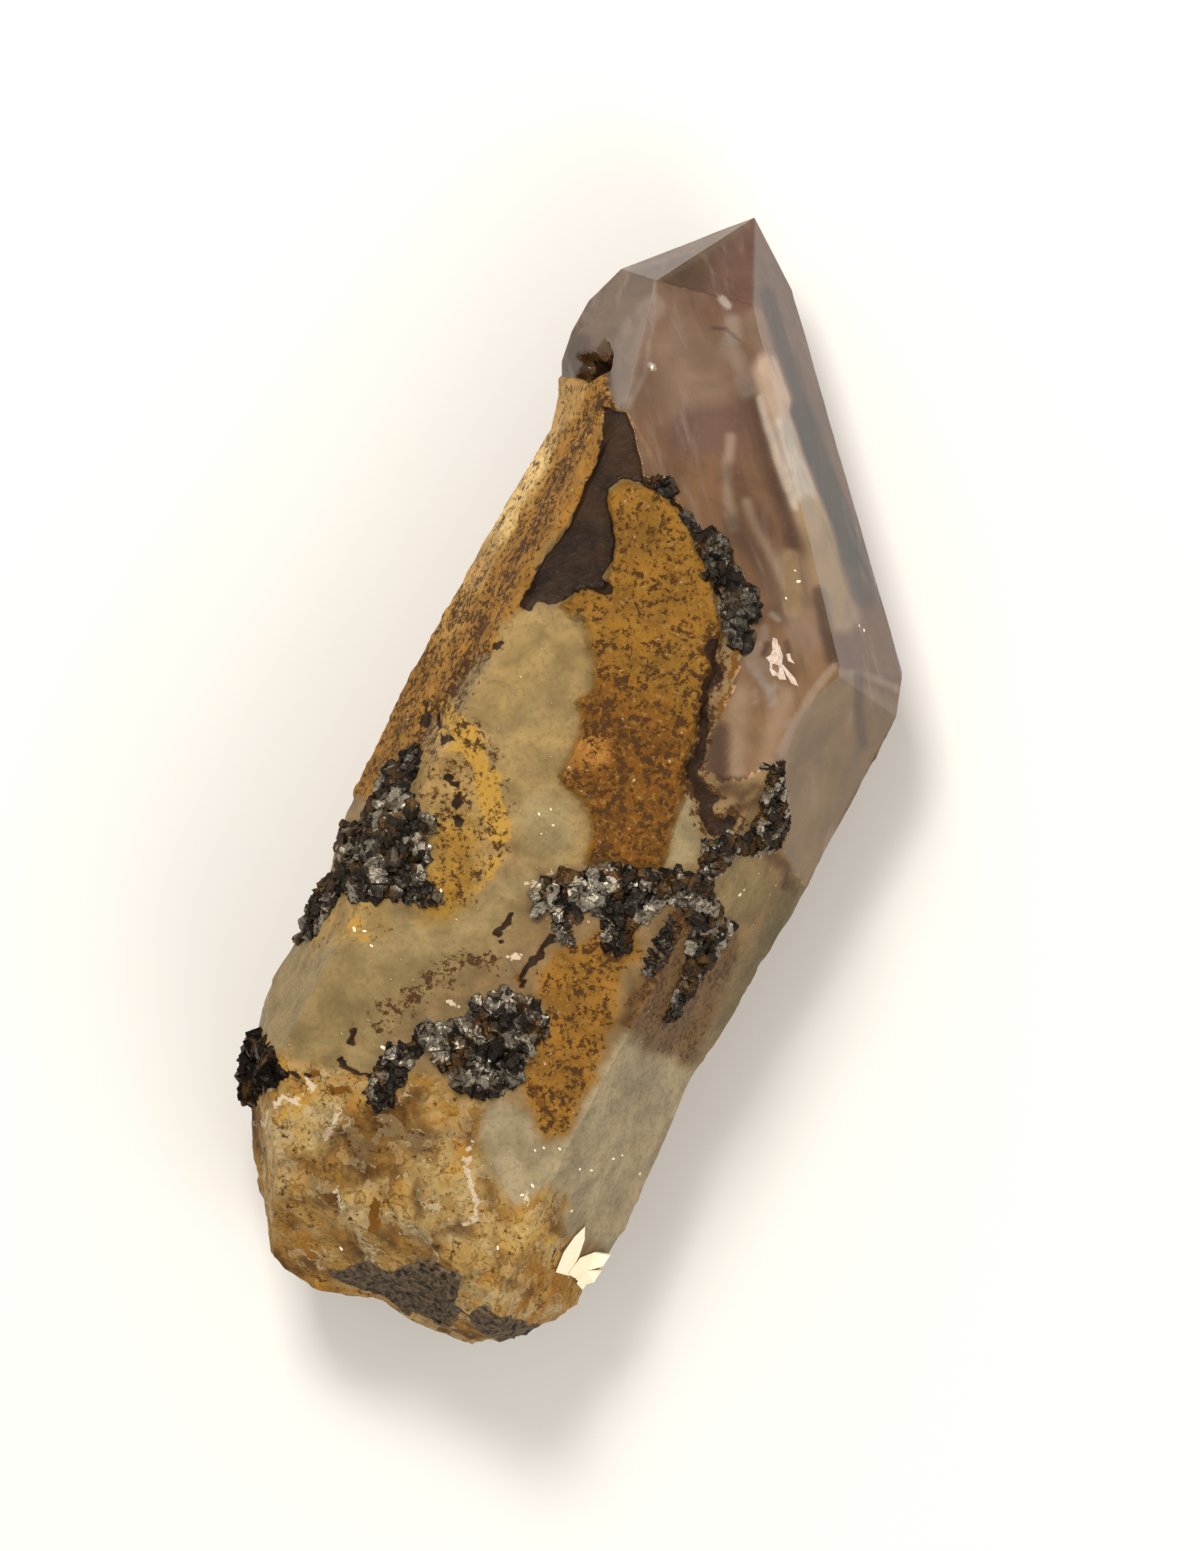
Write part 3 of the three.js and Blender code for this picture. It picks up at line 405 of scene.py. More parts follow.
BLADES = [
    [(12.35, -28.4), (12.2, -27), (12.35, -25.8), (12.65, -24.9), (13.05, -25.7), (13.25, -26.8),
     (13.3, -28.3)],
    [(13.1, -28.2), (13.3, -26.9), (14, -26.2), (15, -25.9), (14.9, -26.8), (14.2, -27.5), (13.8, -28.3)],
    [(13.7, -28.3), (14.1, -27.5), (15, -27), (14.9, -28), (14.4, -28.5)],
    [(14.5, -28.8), (13.9, -28.5), (14, -27.9), (14.6, -28)],
]

# The camera looks straight down, turned so that the photograph's right runs along this direction.
PHOTO_RIGHT = (0.8829, 0.4695)
PHOTO_MIDDLE = (0.3, 0.25, 10.0)
PHOTO_HEIGHT = 97.4
LENS = 180.0
SENSOR = 36.0


class CrystalSettings(bpy.types.PropertyGroup):
    """Sizes of the quartz crystal's surface and its clearness."""

    pitch: bpy.props.FloatProperty(
        name="Facet pitch", description="Spacing of the crystal's surface points",
        default=0.3 * MM, min=0.1 * MM, unit="LENGTH")
    slab_height: bpy.props.FloatProperty(
        name="Ochre slab height", description="How far the ochre slab stands above the front face",
        default=0.65 * MM, unit="LENGTH")
    crust: bpy.props.FloatProperty(
        name="Crust thickness", description="Thickness of the ochre crust on the left side",
        default=0.35 * MM, unit="LENGTH")
    broken: bpy.props.FloatProperty(
        name="Break relief", description="Height of the steps on the broken base",
        default=0.5 * MM, unit="LENGTH")
    clearness: bpy.props.FloatProperty(
        name="Clearness", description="How much light the tip lets through", default=0.62, min=0, max=1,
        subtype="FACTOR")
    milkiness: bpy.props.FloatProperty(
        name="Milky depth", description="How far light spreads in the cloudy quartz",
        default=0.8 * MM, unit="LENGTH")


class GoethiteSettings(bpy.types.PropertyGroup):
    """Number and colour of the goethite grains."""

    density: bpy.props.FloatProperty(
        name="Grains per square millimetre", description="How closely the grains are strewn", default=11.0)
    colour: bpy.props.FloatVectorProperty(
        name="Goethite", description="Colour of the goethite", subtype="COLOR",
        default=(0.034, 0.029, 0.024), min=0, max=1)


class InclusionSettings(bpy.types.PropertyGroup):
    """The white sprig in the tip and the blades by the base."""

    sprig_height: bpy.props.FloatProperty(
        name="Sprig height", description="How thick the flakes of the sprig are",
        default=0.12 * MM, unit="LENGTH")
    blade_height: bpy.props.FloatProperty(
        name="Blade height", description="How thick the white blades are", default=0.6 * MM, unit="LENGTH")


class StudioSettings(bpy.types.PropertyGroup):
    """The floor and the light."""

    floor_colour: bpy.props.FloatVectorProperty(
        name="Floor", description="Colour of the floor", subtype="COLOR", default=(0.8, 0.79, 0.77),
        min=0, max=1)
    key_power: bpy.props.FloatProperty(
        name="Main light", description="Power of the main light", default=1.2, unit="POWER")
    sky: bpy.props.FloatProperty(name="Sky", description="Strength of the even light all round", default=0.62)


def read(table, places):
    """Linear reading of a table of pairs at many places."""
    xs, ys = zip(*table)
    return np.interp(places, xs, ys)


def smoothstep(low, high, value):
    """0 below low, 1 above high, and a soft rise between."""
    t = np.clip((value - low) / (high - low), 0, 1)
    return t * t * (3 - 2 * t)


def line_distance(points, xy):
    """Distance of each place from an open line through the points."""
    best = np.full(len(xy), np.inf)
    for a, b in zip(points, points[1:]):
        a, d = np.array(a, float), np.subtract(b, a).astype(float)
        t = np.clip(((xy - a) @ d) / (d @ d), 0, 1)
        best = np.minimum(best, np.hypot(*(xy - a - t[:, None] * d).T))
    return best


def inside(outline, xy):
    """Distance of each place from an outline's edge, positive inside it."""
    within = np.zeros(len(xy), bool)
    for (x0, y0), (x1, y1) in zip(outline, outline[1:] + outline[:1]):
        crosses = (y0 > xy[:, 1]) != (y1 > xy[:, 1])
        if y0 != y1:
            within ^= crosses & (xy[:, 0] < (x1 - x0) * (xy[:, 1] - y0) / (y1 - y0) + x0)
    edge = line_distance(outline + outline[:1], xy)
    return np.where(within, edge, -edge)


def waves(co, scale, octaves=3, shift=0.0):
    """Uneven noise from about -1 to 1 at each place, with lumps of about the given size."""
    return np.array([
        noise.fractal(Vector((x / scale + shift, y / scale - shift, z / scale)), 0.8, 2.1, octaves)
        for x, y, z in co
    ])


def chips(co, strayed, size, seed):
    """Tilted chips: each place's height, its closeness to a chip's rim and that chip's own shade."""
    rng = random.Random(seed)
    low, high = co.min(0), co.max(0)
    count = int(np.prod((high - low)[:2]) * 2.2 / size ** 2)
    centres = np.array([[rng.uniform(a, b) for a, b in zip(low, high)] for _ in range(count)])
    tilts = np.array([[rng.uniform(-0.3, 0.3) for _ in range(3)] for _ in range(count)])
    lifts = np.array([rng.uniform(-0.25, 0.25) * size for _ in range(count)])
    tree = KDTree(count)
    for i, centre in enumerate(centres):
        tree.insert(centre, i)
    tree.balance()
    found = [tree.find_n(place, 2) for place in strayed]
    gap = np.array([pair[1][2] - pair[0][2] for pair in found])
    share = 0.5 + 0.5 * smoothstep(0, 0.2 * size, gap)
    height = np.zeros(len(co))
    for which, part in ((0, share), (1, 1 - share)):
        near = np.array([pair[which][1] for pair in found])
        height += part * (np.sum((co - centres[near]) * tilts[near], axis=1) + lifts[near])
    shade = np.array([pair[0][1] % 17 for pair in found]) / 16
    return height, smoothstep(0.16 * size, 0, gap), shade


def plane_of(corners):
    """A point and the outward direction of the plane through three corners."""
    a, b, c = (Vector(corner) for corner in corners)
    normal = (b - a).cross(c - a).normalized()
    middle = Vector((0, 0, THICKNESS / 2))
    return a, normal if normal.dot(a - middle) > 0 else -normal


def cut_away(bm, corners):
    """Take away what is outside a plane and close the cut."""
    place, normal = plane_of(corners)
    cut = bmesh.ops.bisect_plane(
        bm, geom=bm.verts[:] + bm.edges[:] + bm.faces[:], dist=1e-5,
        plane_co=place, plane_no=normal, clear_outer=True)["geom_cut"]
    edges = [e for e in cut if isinstance(e, bmesh.types.BMEdge) and e.is_boundary]
    if edges:
        bmesh.ops.contextual_create(bm, geom=edges)


def cut_across(bm, axis, pitch, low, high, wanted):
    """Cut the wanted faces across by planes at an even pitch between two places."""
    count = round((high - low) / pitch)
    normal = Vector([float(i == axis) for i in range(3)])
    for i in range(1, count):
        place = normal * (low + (high - low) * i / count)
        near = []
        for face in filter(wanted, bm.faces):
            ends = [v.co[axis] for v in face.verts]
            if min(ends) < place[axis] < max(ends):
                near.append(face)
        edges = {e for f in near for e in f.edges}
        verts = {v for f in near for v in f.verts}
        bmesh.ops.bisect_plane(bm, geom=[*verts, *edges, *near], dist=1e-5, plane_co=place, plane_no=normal)


def crystal_mesh(pitch):
    """The crystal with flat faces, its surface cut into small even faces, finer at the clear tip's front."""
    bm = bmesh.new()
    bmesh.ops.create_cube(bm, size=120)
    for (x0, z0), (x1, z1) in zip(PRISM, PRISM[1:] + PRISM[:1]):
        cut_away(bm, ((x0, 0, z0), (x1, 0, z1), (x0, 10, z0)))
    for corners in TERMINATION + BASE_CUTS:
        cut_away(bm, corners)
    bmesh.ops.recalc_face_normals(bm, faces=bm.faces)
    bm.normal_update()
    low, high = PRISM_LEFT, PRISM_RIGHT
    cut_across(bm, 1, pitch, BASE_Y, TIP_Y, lambda f: abs(f.normal.y) < 0.9)
    cut_across(bm, 0, pitch, low, high, lambda f: abs(f.normal.z) > 0.7 or abs(f.normal.y) > 0.7)
    cut_across(bm, 2, pitch, 0, THICKNESS, lambda f: abs(f.normal.z) <= 0.7)
    # Cut once more, half way between, where the tip's glimmers need it.
    step = (TIP_Y - BASE_Y) / round((TIP_Y - BASE_Y) / pitch)
    tip = [f for f in bm.faces if f.normal.z > 0.25 and f.calc_center_median().y > 11]
    edges = list({e for f in tip for e in f.edges if e.calc_length() > 0.6 * step})
    bmesh.ops.subdivide_edges(bm, edges=edges, cuts=1, use_grid_fill=True)
    return bm


def shape_sides(co):
    """Draw the sides in to the waist and the base's end to its uneven line."""
    x, y, z = co.T
    left, right, end = read(LEFT_SIDE, y), read(RIGHT_SIDE, y), read(BASE_END, x)
    stretch_left = (PRISM_FRONT_LEFT - left) / (PRISM_FRONT_LEFT - PRISM_LEFT)
    stretch_right = (right - PRISM_FRONT_RIGHT) / (PRISM_RIGHT - PRISM_FRONT_RIGHT)
    new_x = np.where(x < PRISM_FRONT_LEFT, PRISM_FRONT_LEFT + (x - PRISM_FRONT_LEFT) * stretch_left, x)
    past = x - PRISM_FRONT_RIGHT
    new_x = np.where(past > 0, PRISM_FRONT_RIGHT + past * stretch_right, new_x)
    new_y = y + (end - BASE_Y) * np.clip((-33 - y) / 3.5, 0, 1)
    return np.column_stack([new_x, new_y, z])


def blend(base, mask, colour):
    """Lay a named colour over others where a mask is up."""
    return base + mask[:, None] * (np.array(PALETTE[colour]) - base)


class Coat:
    """What covers each place of the crystal, worked out from the outlines."""

    def __init__(self, co, normals):
        self.co, self.normals = co, normals
        wobble = np.column_stack([waves(co, 1.5, 3, 3.1), waves(co, 1.5, 3, 8.7)])
        self.coarse, self.fine = waves(co, 5.0, 3, 1.7), waves(co, 1.8, 3, 4.4)
        self.crisp = co[:, :2] + 0.12 * wobble
        self.loose = co[:, :2] + 0.4 * wobble
        self.front = smoothstep(-0.05, 0.15, normals[:, 2])
        self.back = 1 - self.front
        strayed = co + 0.5 * np.column_stack([wobble, self.fine])
        large, self.rim, self.shade = chips(co, strayed, 3.2, SEED)
        small, small_rim, _ = chips(co, strayed, 1.3, SEED + 1)
        self.steps = 0.55 * large + 0.35 * small
        self.rim = np.maximum(self.rim, 0.6 * small_rim)

    def area(self, outline, feather=0.2, loose=False):
        """A mask that is up inside an outline."""
        depth = inside(outline, self.loose if loose else self.crisp)
        return smoothstep(-feather, feather, depth) * self.front

    def line(self, points, width, feather=0.2, loose=False):
        """A mask that is up along a line."""
        away = line_distance(points, self.loose if loose else self.crisp)
        return smoothstep(-feather, feather, width - away) * self.front

    def lines(self, several, width, feather=0.2, loose=False):
        """A mask that is up along each of several lines."""
        return np.maximum.reduce([self.line(points, width, feather, loose) for points in several])

    def speck_mask(self, back_ochre):
        """How closely the dark specks lie."""
        y = self.co[:, 1]
        return np.maximum.reduce([
            self.area(SLAB, 0.3) * (0.56 + 0.1 * smoothstep(10, 2, y)),
            self.line([(-10.2, 21.6), (-10.2, -3)], 0.9, 1.4, True),
            (0.5 + 0.2 * smoothstep(9, 6, y)) * self.area(LEFT_CRUST),
            0.62 * self.line(SPECKLED_STREAK, 0.9, 0.6, True),
            0.6 * self.area(LOWER_OCHRE, 0.3, True), 0.55 * self.area(YELLOW_STAIN, 0.4, True),
            0.25 * self.area(BASE, 0.5), 0.6 * back_ochre, 0.6 * self.area(RIGHT_OCHRE, 0.5, True),
            0.9 * self.line(CONTACT_LINE, 0.9, 0.5), 0.3 * self.area(LEFT_OCHRE, 0.6, True),
            0.5 * self.line(ORANGE_SPOT, 1, 0.4)]) * (1 - 0.2 * self.line(ORANGE_SPOT, 1, 0.4))

    def ochre_mask(self, back_ochre):
        """Where the ochre crust lies, thin on the outer left edge."""
        thin = smoothstep(-11, -11.8, self.loose[:, 0]) * smoothstep(4, 8, self.co[:, 1])
        return np.maximum.reduce([
            self.area(SLAB, 0.15), self.area(LEFT_CRUST, 0.15), self.area(LOWER_OCHRE, 0.3, True),
            0.75 * self.area(LEFT_OCHRE, 0.8, True), back_ochre]) * (1 - 0.7 * self.area(LEFT_CRUST) * thin)

    def yellow_mask(self):
        """Where the yellow stains lie."""
        return np.maximum.reduce([
            self.line(YELLOW_LINE, 0.75, 0.7, True), 0.5 * self.line(YELLOW_EDGE, 0.35, 0.5, True),
            0.12 * self.area(YELLOW_STAIN, 0.6, True), 0.36 * self.area(LEFT_OCHRE, 0.6, True),
            0.34 * self.area(BASE, 0.6) * smoothstep(0, 0.5, self.coarse)])

    def masks(self):
        """The masks that the shaders read."""
        y = self.co[:, 1]
        back_clear = smoothstep(11, 12.5, y + 1.5 * self.coarse) * self.back
        back_ochre = smoothstep(-0.05, 0.25, self.coarse + 0.3 * self.fine) * (self.back - back_clear)
        growths = [self.area(outline, 0.25) for patches in GROWTHS.values() for _, outline in patches]
        masks = {
            "slab": self.area(SLAB, 0.12),
            "left_crust": self.area(LEFT_CRUST, 0.15),
            "broken": np.maximum(self.area(BASE, 0.3), smoothstep(24, 27, -y) * self.back),
            "ochre": self.ochre_mask(back_ochre),
            "speck": self.speck_mask(back_ochre),
            "brown": np.maximum.reduce([
                self.area(BROWN_PATCH, 0.12), self.line(CONTACT_LINE, 0.34, 0.2, True),
                # The cavity among these is painted shade.
                self.lines(DARK_MARKS, 0.2, 0.14, True), self.area(CAVITY, 0.12)]),
            # Under and between the goethite grains: their brown stain, and painted shade in the gaps. Also
            # the dark patch on the base.
            "under": np.maximum.reduce([*growths, 0.95 * self.area(BASE_DARK, 0.25, True)]),
            "white": self.lines(WHITE_MARKS, 0.14, 0.2, True),
            "amber": np.maximum(
                self.lines(AMBER_LINES, 0.18, 0.25, True), self.lines(ORANGE_MARKS, 0.3, 0.25, True)),
            "yellow": self.yellow_mask(),
        }
        covered = np.maximum(masks["brown"], masks["under"])
        masks["clear"] = np.maximum(self.area(CLEAR_TIP, 0.12), back_clear) * (1 - covered)
        return masks

    def stone_tones(self):
        """The colour of the cloudy stone at each place, before specks and crusts."""
        y = self.co[:, 1]
        stone = np.tile(PALETTE["milky"], (len(y), 1))
        for outline, feather, colour in STONE_AREAS:
            stone = blend(stone, self.area(outline, feather, True), colour)
        broken = self.area(BASE, 0.4)
        edge = smoothstep(-11, -11.7, self.loose[:, 0])
        upper = 0.4 * smoothstep(0, 6, y) + 0.6 * smoothstep(5, 2, np.abs(y - 13.5))
        hollows = smoothstep(-0.35, -0.8, self.coarse + 0.5 * self.steps)
        shaded_right_edge = smoothstep(13.2, 14.2, self.loose[:, 0]) * smoothstep(-14, -10, y)
        for mask, colour in (
            (broken * smoothstep(0.5, 0.9, self.shade), "plate"),
            (0.6 * broken * smoothstep(0.25, 0.1, self.shade), "base_orange"),
            *((self.area(outline, 0.3, True), "plate") for outline in PLATES),
            (0.6 * broken * smoothstep(0.1, 0.7, self.fine), "cream"),
            (0.6 * broken * smoothstep(-0.1, -0.7, self.fine), "base_orange"),
            # Painted shade: darker in the hollows between the chips.
            (0.7 * broken * hollows, "base_shadow_and_crack"),
            (0.6 * broken * self.rim * smoothstep(0, 0.4, self.coarse), "cream"),
            # Dark cracks along some chips' rims, in the painted-shade colour.
            (0.8 * broken * self.rim * smoothstep(0, -0.3, self.coarse), "base_shadow_and_crack"),
            (0.9 * self.lines(RUSTY_MARKS, 0.22, 0.35, True), "smear"),
            # Painted shade: darker olive where the right side face turns away from the light.
            (0.7 * shaded_right_edge, "shaded_edge_olive"),
            (self.area(SLAB, 0.3) * smoothstep(8, 3, y), "ochre_low"),
            (self.area(LEFT_CRUST, 0.2) * edge * upper, "left_tan"),
            (0.7 * self.line(PALE_END, 1.4, 0.9), "pale_low"),
            (0.8 * self.line(PINK_DIAGONAL, 1.0, 0.8), "pink"),
            (self.line(RIGHT_PATCH, 1.5, 0.3), "olive"),
            (0.8 * self.line(STAIN_CORE, 1.3, 1.0, True), "stain_yellow"),
            (0.8 * self.lines(RIGHT_SMEARS, 0.35, 0.3, True), "smear"),
            (0.85 * self.line(ORANGE_SPOT, 1.0, 0.6, True), "orange"),
        ):
            stone = blend(stone, mask, colour)
        return stone

    def glass_tones(self):
        """The colour of the clear tip at each place, with painted shade on its tilted side facets and its
        painted glimmers, reflections and shadows.
        """
        x, y, _ = self.co.T
        side = smoothstep(0.88, 0.8, self.normals[:, 2]) * smoothstep(12.6, 13.6, y)
        glass = np.tile(PALETTE["clear"], (len(y), 1))
        for mask, colour in (
            (smoothstep(26, 15, y), "clear_low"),
            (smoothstep(9.4, 10.4, x) * smoothstep(14, 12, y), "right_face"),
            # Painted shade: the tip's tilted side facets, on the right and on the left, are darker than its
            # front.
            (side * smoothstep(-8.4, -7, x), "shaded_right_strip"),
            (side * smoothstep(-7, -8.4, x), "shaded_left_facet"),
        ):
            glass = blend(glass, mask, colour)
        wavering = self.co[:, :2] + 0.5 * (self.crisp - self.co[:, :2])
        for points, width, feather, colour, strength in TIP_SHADES:
            shade = smoothstep(width + feather, width, line_distance(points, wavering))
            glass = blend(glass, shade * self.front * strength, colour)
        return glass

    def tones(self, clear):
        """The colour of the bare crystal as it is shown, cloudy or clear, with its share in linear light."""
        stone = self.stone_tones()
        shown = stone + clear[:, None] * (self.glass_tones() - stone)
        share = STONE_SHARE + (1 - STONE_SHARE) * clear[:, None]
        return np.clip(shown, 0, 1) ** GAMMA * share


def relief(coat, masks, settings):
    """How far each place is moved out along its normal, in millimetres."""
    co, normals = coat.co, coat.normals
    lumps, knobs, grit = waves(co, 4.0, 2, 2.2), waves(co, 1.1, 3, 5.9), waves(co, 0.5, 2, 9.3)
    level = smoothstep(0.5, 0.85, normals[:, 2])
    out = masks["ochre"] * (0.08 * knobs + 0.06 * grit)
    steps = coat.steps * (0.35 + 0.65 * level)
    out += masks["broken"] * (settings.broken / MM) * (steps + 0.25 * knobs + 0.1 * grit)
    stone = (1 - masks["clear"]) * (1 - masks["broken"])
    out += stone * (0.12 * lumps + 0.04 * knobs)
    out += masks["slab"] * level * settings.slab_height / MM
    out += masks["left_crust"] * settings.crust / MM
    out += masks["under"] * (0.1 + 0.2 * np.abs(knobs) + 0.1 * grit)
    out -= 0.25 * masks["brown"] * stone
    out -= 1.4 * coat.area(CAVITY, 0.3)
    out -= 0.3 * coat.line([(-2, 16.5), (0.4, 15.1), (2.2, 13)], 0.1, 0.4) * level
    for plate in PLATES:
        out += 0.35 * coat.area(plate, 0.12, True) * level
    for x, y, radius, depth in DISHES:
        away = np.hypot(co[:, 0] - x, co[:, 1] - y) / radius
        out -= depth * np.clip(1 - away ** 2, 0, 1) * level
    out += masks["clear"] * 0.012 * lumps
    resting = smoothstep(0.2, 2.5, co[:, 2])
    return np.where(normals[:, 2] < -0.5, np.minimum(out, 0.1) * resting, out)


def mesh_object(name, bm):
    """Finish a mesh drawn in millimetres as a piece of the object, in metres."""
    move = Matrix.Translation((-DRAWN_MIDDLE[0], -DRAWN_MIDDLE[1], 0))
    bmesh.ops.transform(bm, matrix=Matrix.Scale(MM, 4) @ move, verts=bm.verts)
    mesh = bpy.data.meshes.new(name)
    bm.to_mesh(mesh)
    bm.free()
    piece = bpy.data.objects.new(name, mesh)
    bpy.context.scene.collection.objects.link(piece)
    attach(piece, "root")
    return piece


class Nodes:
    """Adds shader nodes to a tree."""

    def __init__(self, tree):
        self.tree = tree

    def plug(self, socket, value):
        """Link a socket into another, or set it to a value."""
        if isinstance(value, bpy.types.NodeSocket):
            self.tree.links.new(value, socket)
        elif isinstance(value, tuple) and len(value) == 3 and socket.type == "RGBA":
            socket.default_value = (*value, 1)
        elif value is not None:
            socket.default_value = value

    def add(self, kind, **inputs):
        """A node with some of its inputs set by name."""
        node = self.tree.nodes.new("ShaderNode" + kind)
        for name, value in inputs.items():
            self.plug(node.inputs[name.replace("_", " ")], value)
        return node

    def count(self, operation, a, b=None):
        """What a calculation makes of one or two values."""
        node = self.add("Math")
        node.operation = operation
        self.plug(node.inputs[0], a)
        self.plug(node.inputs[1], b)
        return node.outputs[0]

    def times(self, a, b):
        """One value by another."""
        return self.count("MULTIPLY", a, b)

    def vector(self, operation, *values):
        """What a calculation makes of vectors."""
        node = self.add("VectorMath")
        node.operation = operation
        for socket, value in zip(node.inputs, values):
            self.plug(socket, value)
        return node.outputs["Value" if operation == "DOT_PRODUCT" else "Vector"]

    def mix(self, factor, a, b):
        """Two colours mixed by a factor."""
        node = self.add("Mix")
        node.data_type = "RGBA"
        for index, value in ((0, factor), (6, a), (7, b)):
            self.plug(node.inputs[index], value)
        return node.outputs[2]

    def ramp(self, value, low, high, to_low=0.0, to_high=1.0):
        """A value's range stretched and held to its ends."""
        node = self.add("MapRange", Value=value, From_Min=low, From_Max=high, To_Min=to_low, To_Max=to_high)
        node.interpolation_type = "SMOOTHSTEP"
        return node.outputs["Result"]

    def place(self, scale):
        """Object coordinates in millimetres, scaled."""
        node = self.add("VectorMath")
        node.operation = "SCALE"
        self.plug(node.inputs[0], self.add("TexCoord").outputs["Object"])
        self.plug(node.inputs["Scale"], self.times(scale, 1 / MM))
        return node.outputs[0]

    def noise(self, vector, scale, detail=4.0, distortion=0.0, roughness=0.55):
        """A noise value whose lumps come scale times a millimetre."""
        return self.add("TexNoise", Vector=vector, Scale=scale, Detail=detail, Distortion=distortion,
                        Roughness=roughness).outputs["Fac"]

    def group(self, name, **inputs):
        """Place a node group and set its inputs."""
        node = self.add("Group")
        node.node_tree = bpy.data.node_groups[name]
        for title, value in inputs.items():
            self.plug(node.inputs[title], value)
        return node.outputs

    def attribute(self, name, output="Fac"):
        """What a named attribute holds over the surface."""
        node = self.add("Attribute")
        node.attribute_name = name
        return node.outputs[output]

    def frayed(self, mask, fray, amount):
        """A mask whose edge is broken up by noise."""
        uneven = self.times(self.count("SUBTRACT", fray, 0.5), amount)
        return self.ramp(self.count("ADD", mask, uneven), 0.4, 0.6)

    def varied(self, colour, value, low, high):
        """A colour made darker and lighter by a value."""
        return self.add("HueSaturation", Color=colour, Value=self.ramp(value, 0.3, 0.7, low, high)).outputs[0]


def new_material(name):
    """An empty material with its nodes and its principled shader."""
    material = bpy.data.materials.new(name)
    material.use_nodes = True
    return material, Nodes(material.node_tree), material.node_tree.nodes["Principled BSDF"]


def finish_surface(nodes, shader, colour, roughness, height, strength, distance):
    """Put a colour, a roughness and a bump on a shader."""
    nodes.plug(shader.inputs["Base Color"], colour)
    nodes.plug(shader.inputs["Roughness"], roughness)
    bump = nodes.add("Bump", Strength=strength, Distance=distance * MM, Height=height)
    nodes.plug(shader.inputs["Normal"], bump.outputs[0])


def set_values(node, **values):
    """Constants on a node's own sockets."""
    for name, value in values.items():
        node.inputs[name.replace("_", " ")].default_value = value


def group_of(name, inputs, outputs):
    """A new shader node group with its ends."""
    tree = bpy.data.node_groups.new(name, "ShaderNodeTree")
    for title, default in inputs:
        socket = tree.interface.new_socket(title, in_out="INPUT", socket_type="NodeSocketFloat")
        socket.default_value = default
    for title in outputs:
        tree.interface.new_socket(title, in_out="OUTPUT", socket_type="NodeSocketFloat")
    return Nodes(tree), tree.nodes.new("NodeGroupInput").outputs, tree.nodes.new("NodeGroupOutput").inputs


def dendrite_group():
    """Branching dark specks: more of them the higher the amount."""
    nodes, ins, outs = group_of("Dendrite specks", [("Amount", 0.5), ("Scale", 1.0)], ["Mask", "Halo"])
    place = nodes.place(ins["Scale"])
    branches = nodes.noise(place, 2.4, 9.0, 0.3, 0.72)
    patches = nodes.noise(place, 0.9, 5.0, 0.6)
    both = nodes.count("ADD", branches, nodes.times(patches, 0.5))
    level = nodes.count("SUBTRACT", 0.94, nodes.times(ins["Amount"], 0.24))
    over = nodes.count("SUBTRACT", both, level)
    nodes.plug(outs["Mask"], nodes.ramp(over, 0.0, 0.04))
    nodes.plug(outs["Halo"], nodes.ramp(over, -0.09, 0.04))


def mottle_group():
    """Soft patches of two sizes and a fine grain, as values about one half."""
    nodes, ins, outs = group_of("Stone mottle", [("Scale", 1.0)], ["Broad", "Middle", "Fine"])
    place = nodes.place(ins["Scale"])
    for title, scale, detail in (("Broad", 0.12, 3.0), ("Middle", 0.5, 5.0), ("Fine", 2.8, 6.0)):
        nodes.plug(outs[title], nodes.noise(place, scale, detail, 0.4))


def fracture_group():
    """Stone broken into small chips: a shade for each, the cracks between them and their tilted faces."""
    nodes, ins, outs = group_of("Fracture", [("Scale", 1.0)], ["Shade", "Crack", "Height"])
    place = nodes.place(ins["Scale"])
    wander = nodes.add("TexNoise", Vector=place, Scale=1.0, Detail=6.0)
    shift = nodes.vector("SUBTRACT", wander.outputs["Color"], (0.5, 0.5, 0.5))
    bent = nodes.vector("MULTIPLY_ADD", shift, (1.8, 1.8, 1.8), place)
    cells = nodes.add("TexVoronoi", Vector=bent, Scale=1.0).outputs
    edges = nodes.add("TexVoronoi", Vector=bent, Scale=1.0)
    edges.feature = "DISTANCE_TO_EDGE"
    lean = nodes.vector("SUBTRACT", cells["Color"], (0.5, 0.5, 0.5))
    away = nodes.vector("SUBTRACT", bent, cells["Position"])
    nodes.plug(outs["Height"], nodes.vector("DOT_PRODUCT", away, lean))
    nodes.plug(outs["Shade"], nodes.vector("DOT_PRODUCT", cells["Color"], (0.6, 0.4, 0.0)))
    nodes.plug(outs["Crack"], nodes.ramp(edges.outputs["Distance"], 0.07, 0.0))


def veil_group():
    """Long faint streaks through the clear tip, down to the right, and soft clouds."""
    nodes, ins, outs = group_of("Inner veils", [("Scale", 1.0)], ["Streak", "Cloud"])
    place = nodes.place(ins["Scale"])
    turned = nodes.add("VectorRotate", Vector=place, Angle=math.radians(46))
    turned.rotation_type = "Z_AXIS"
    drawn = nodes.vector("MULTIPLY", turned.outputs[0], (0.13, 1.0, 0.5))
    nodes.plug(outs["Streak"], nodes.noise(drawn, 0.8, 6.0, 0.5, 0.6))
    nodes.plug(outs["Cloud"], nodes.noise(place, 0.3, 5.0, 0.6))


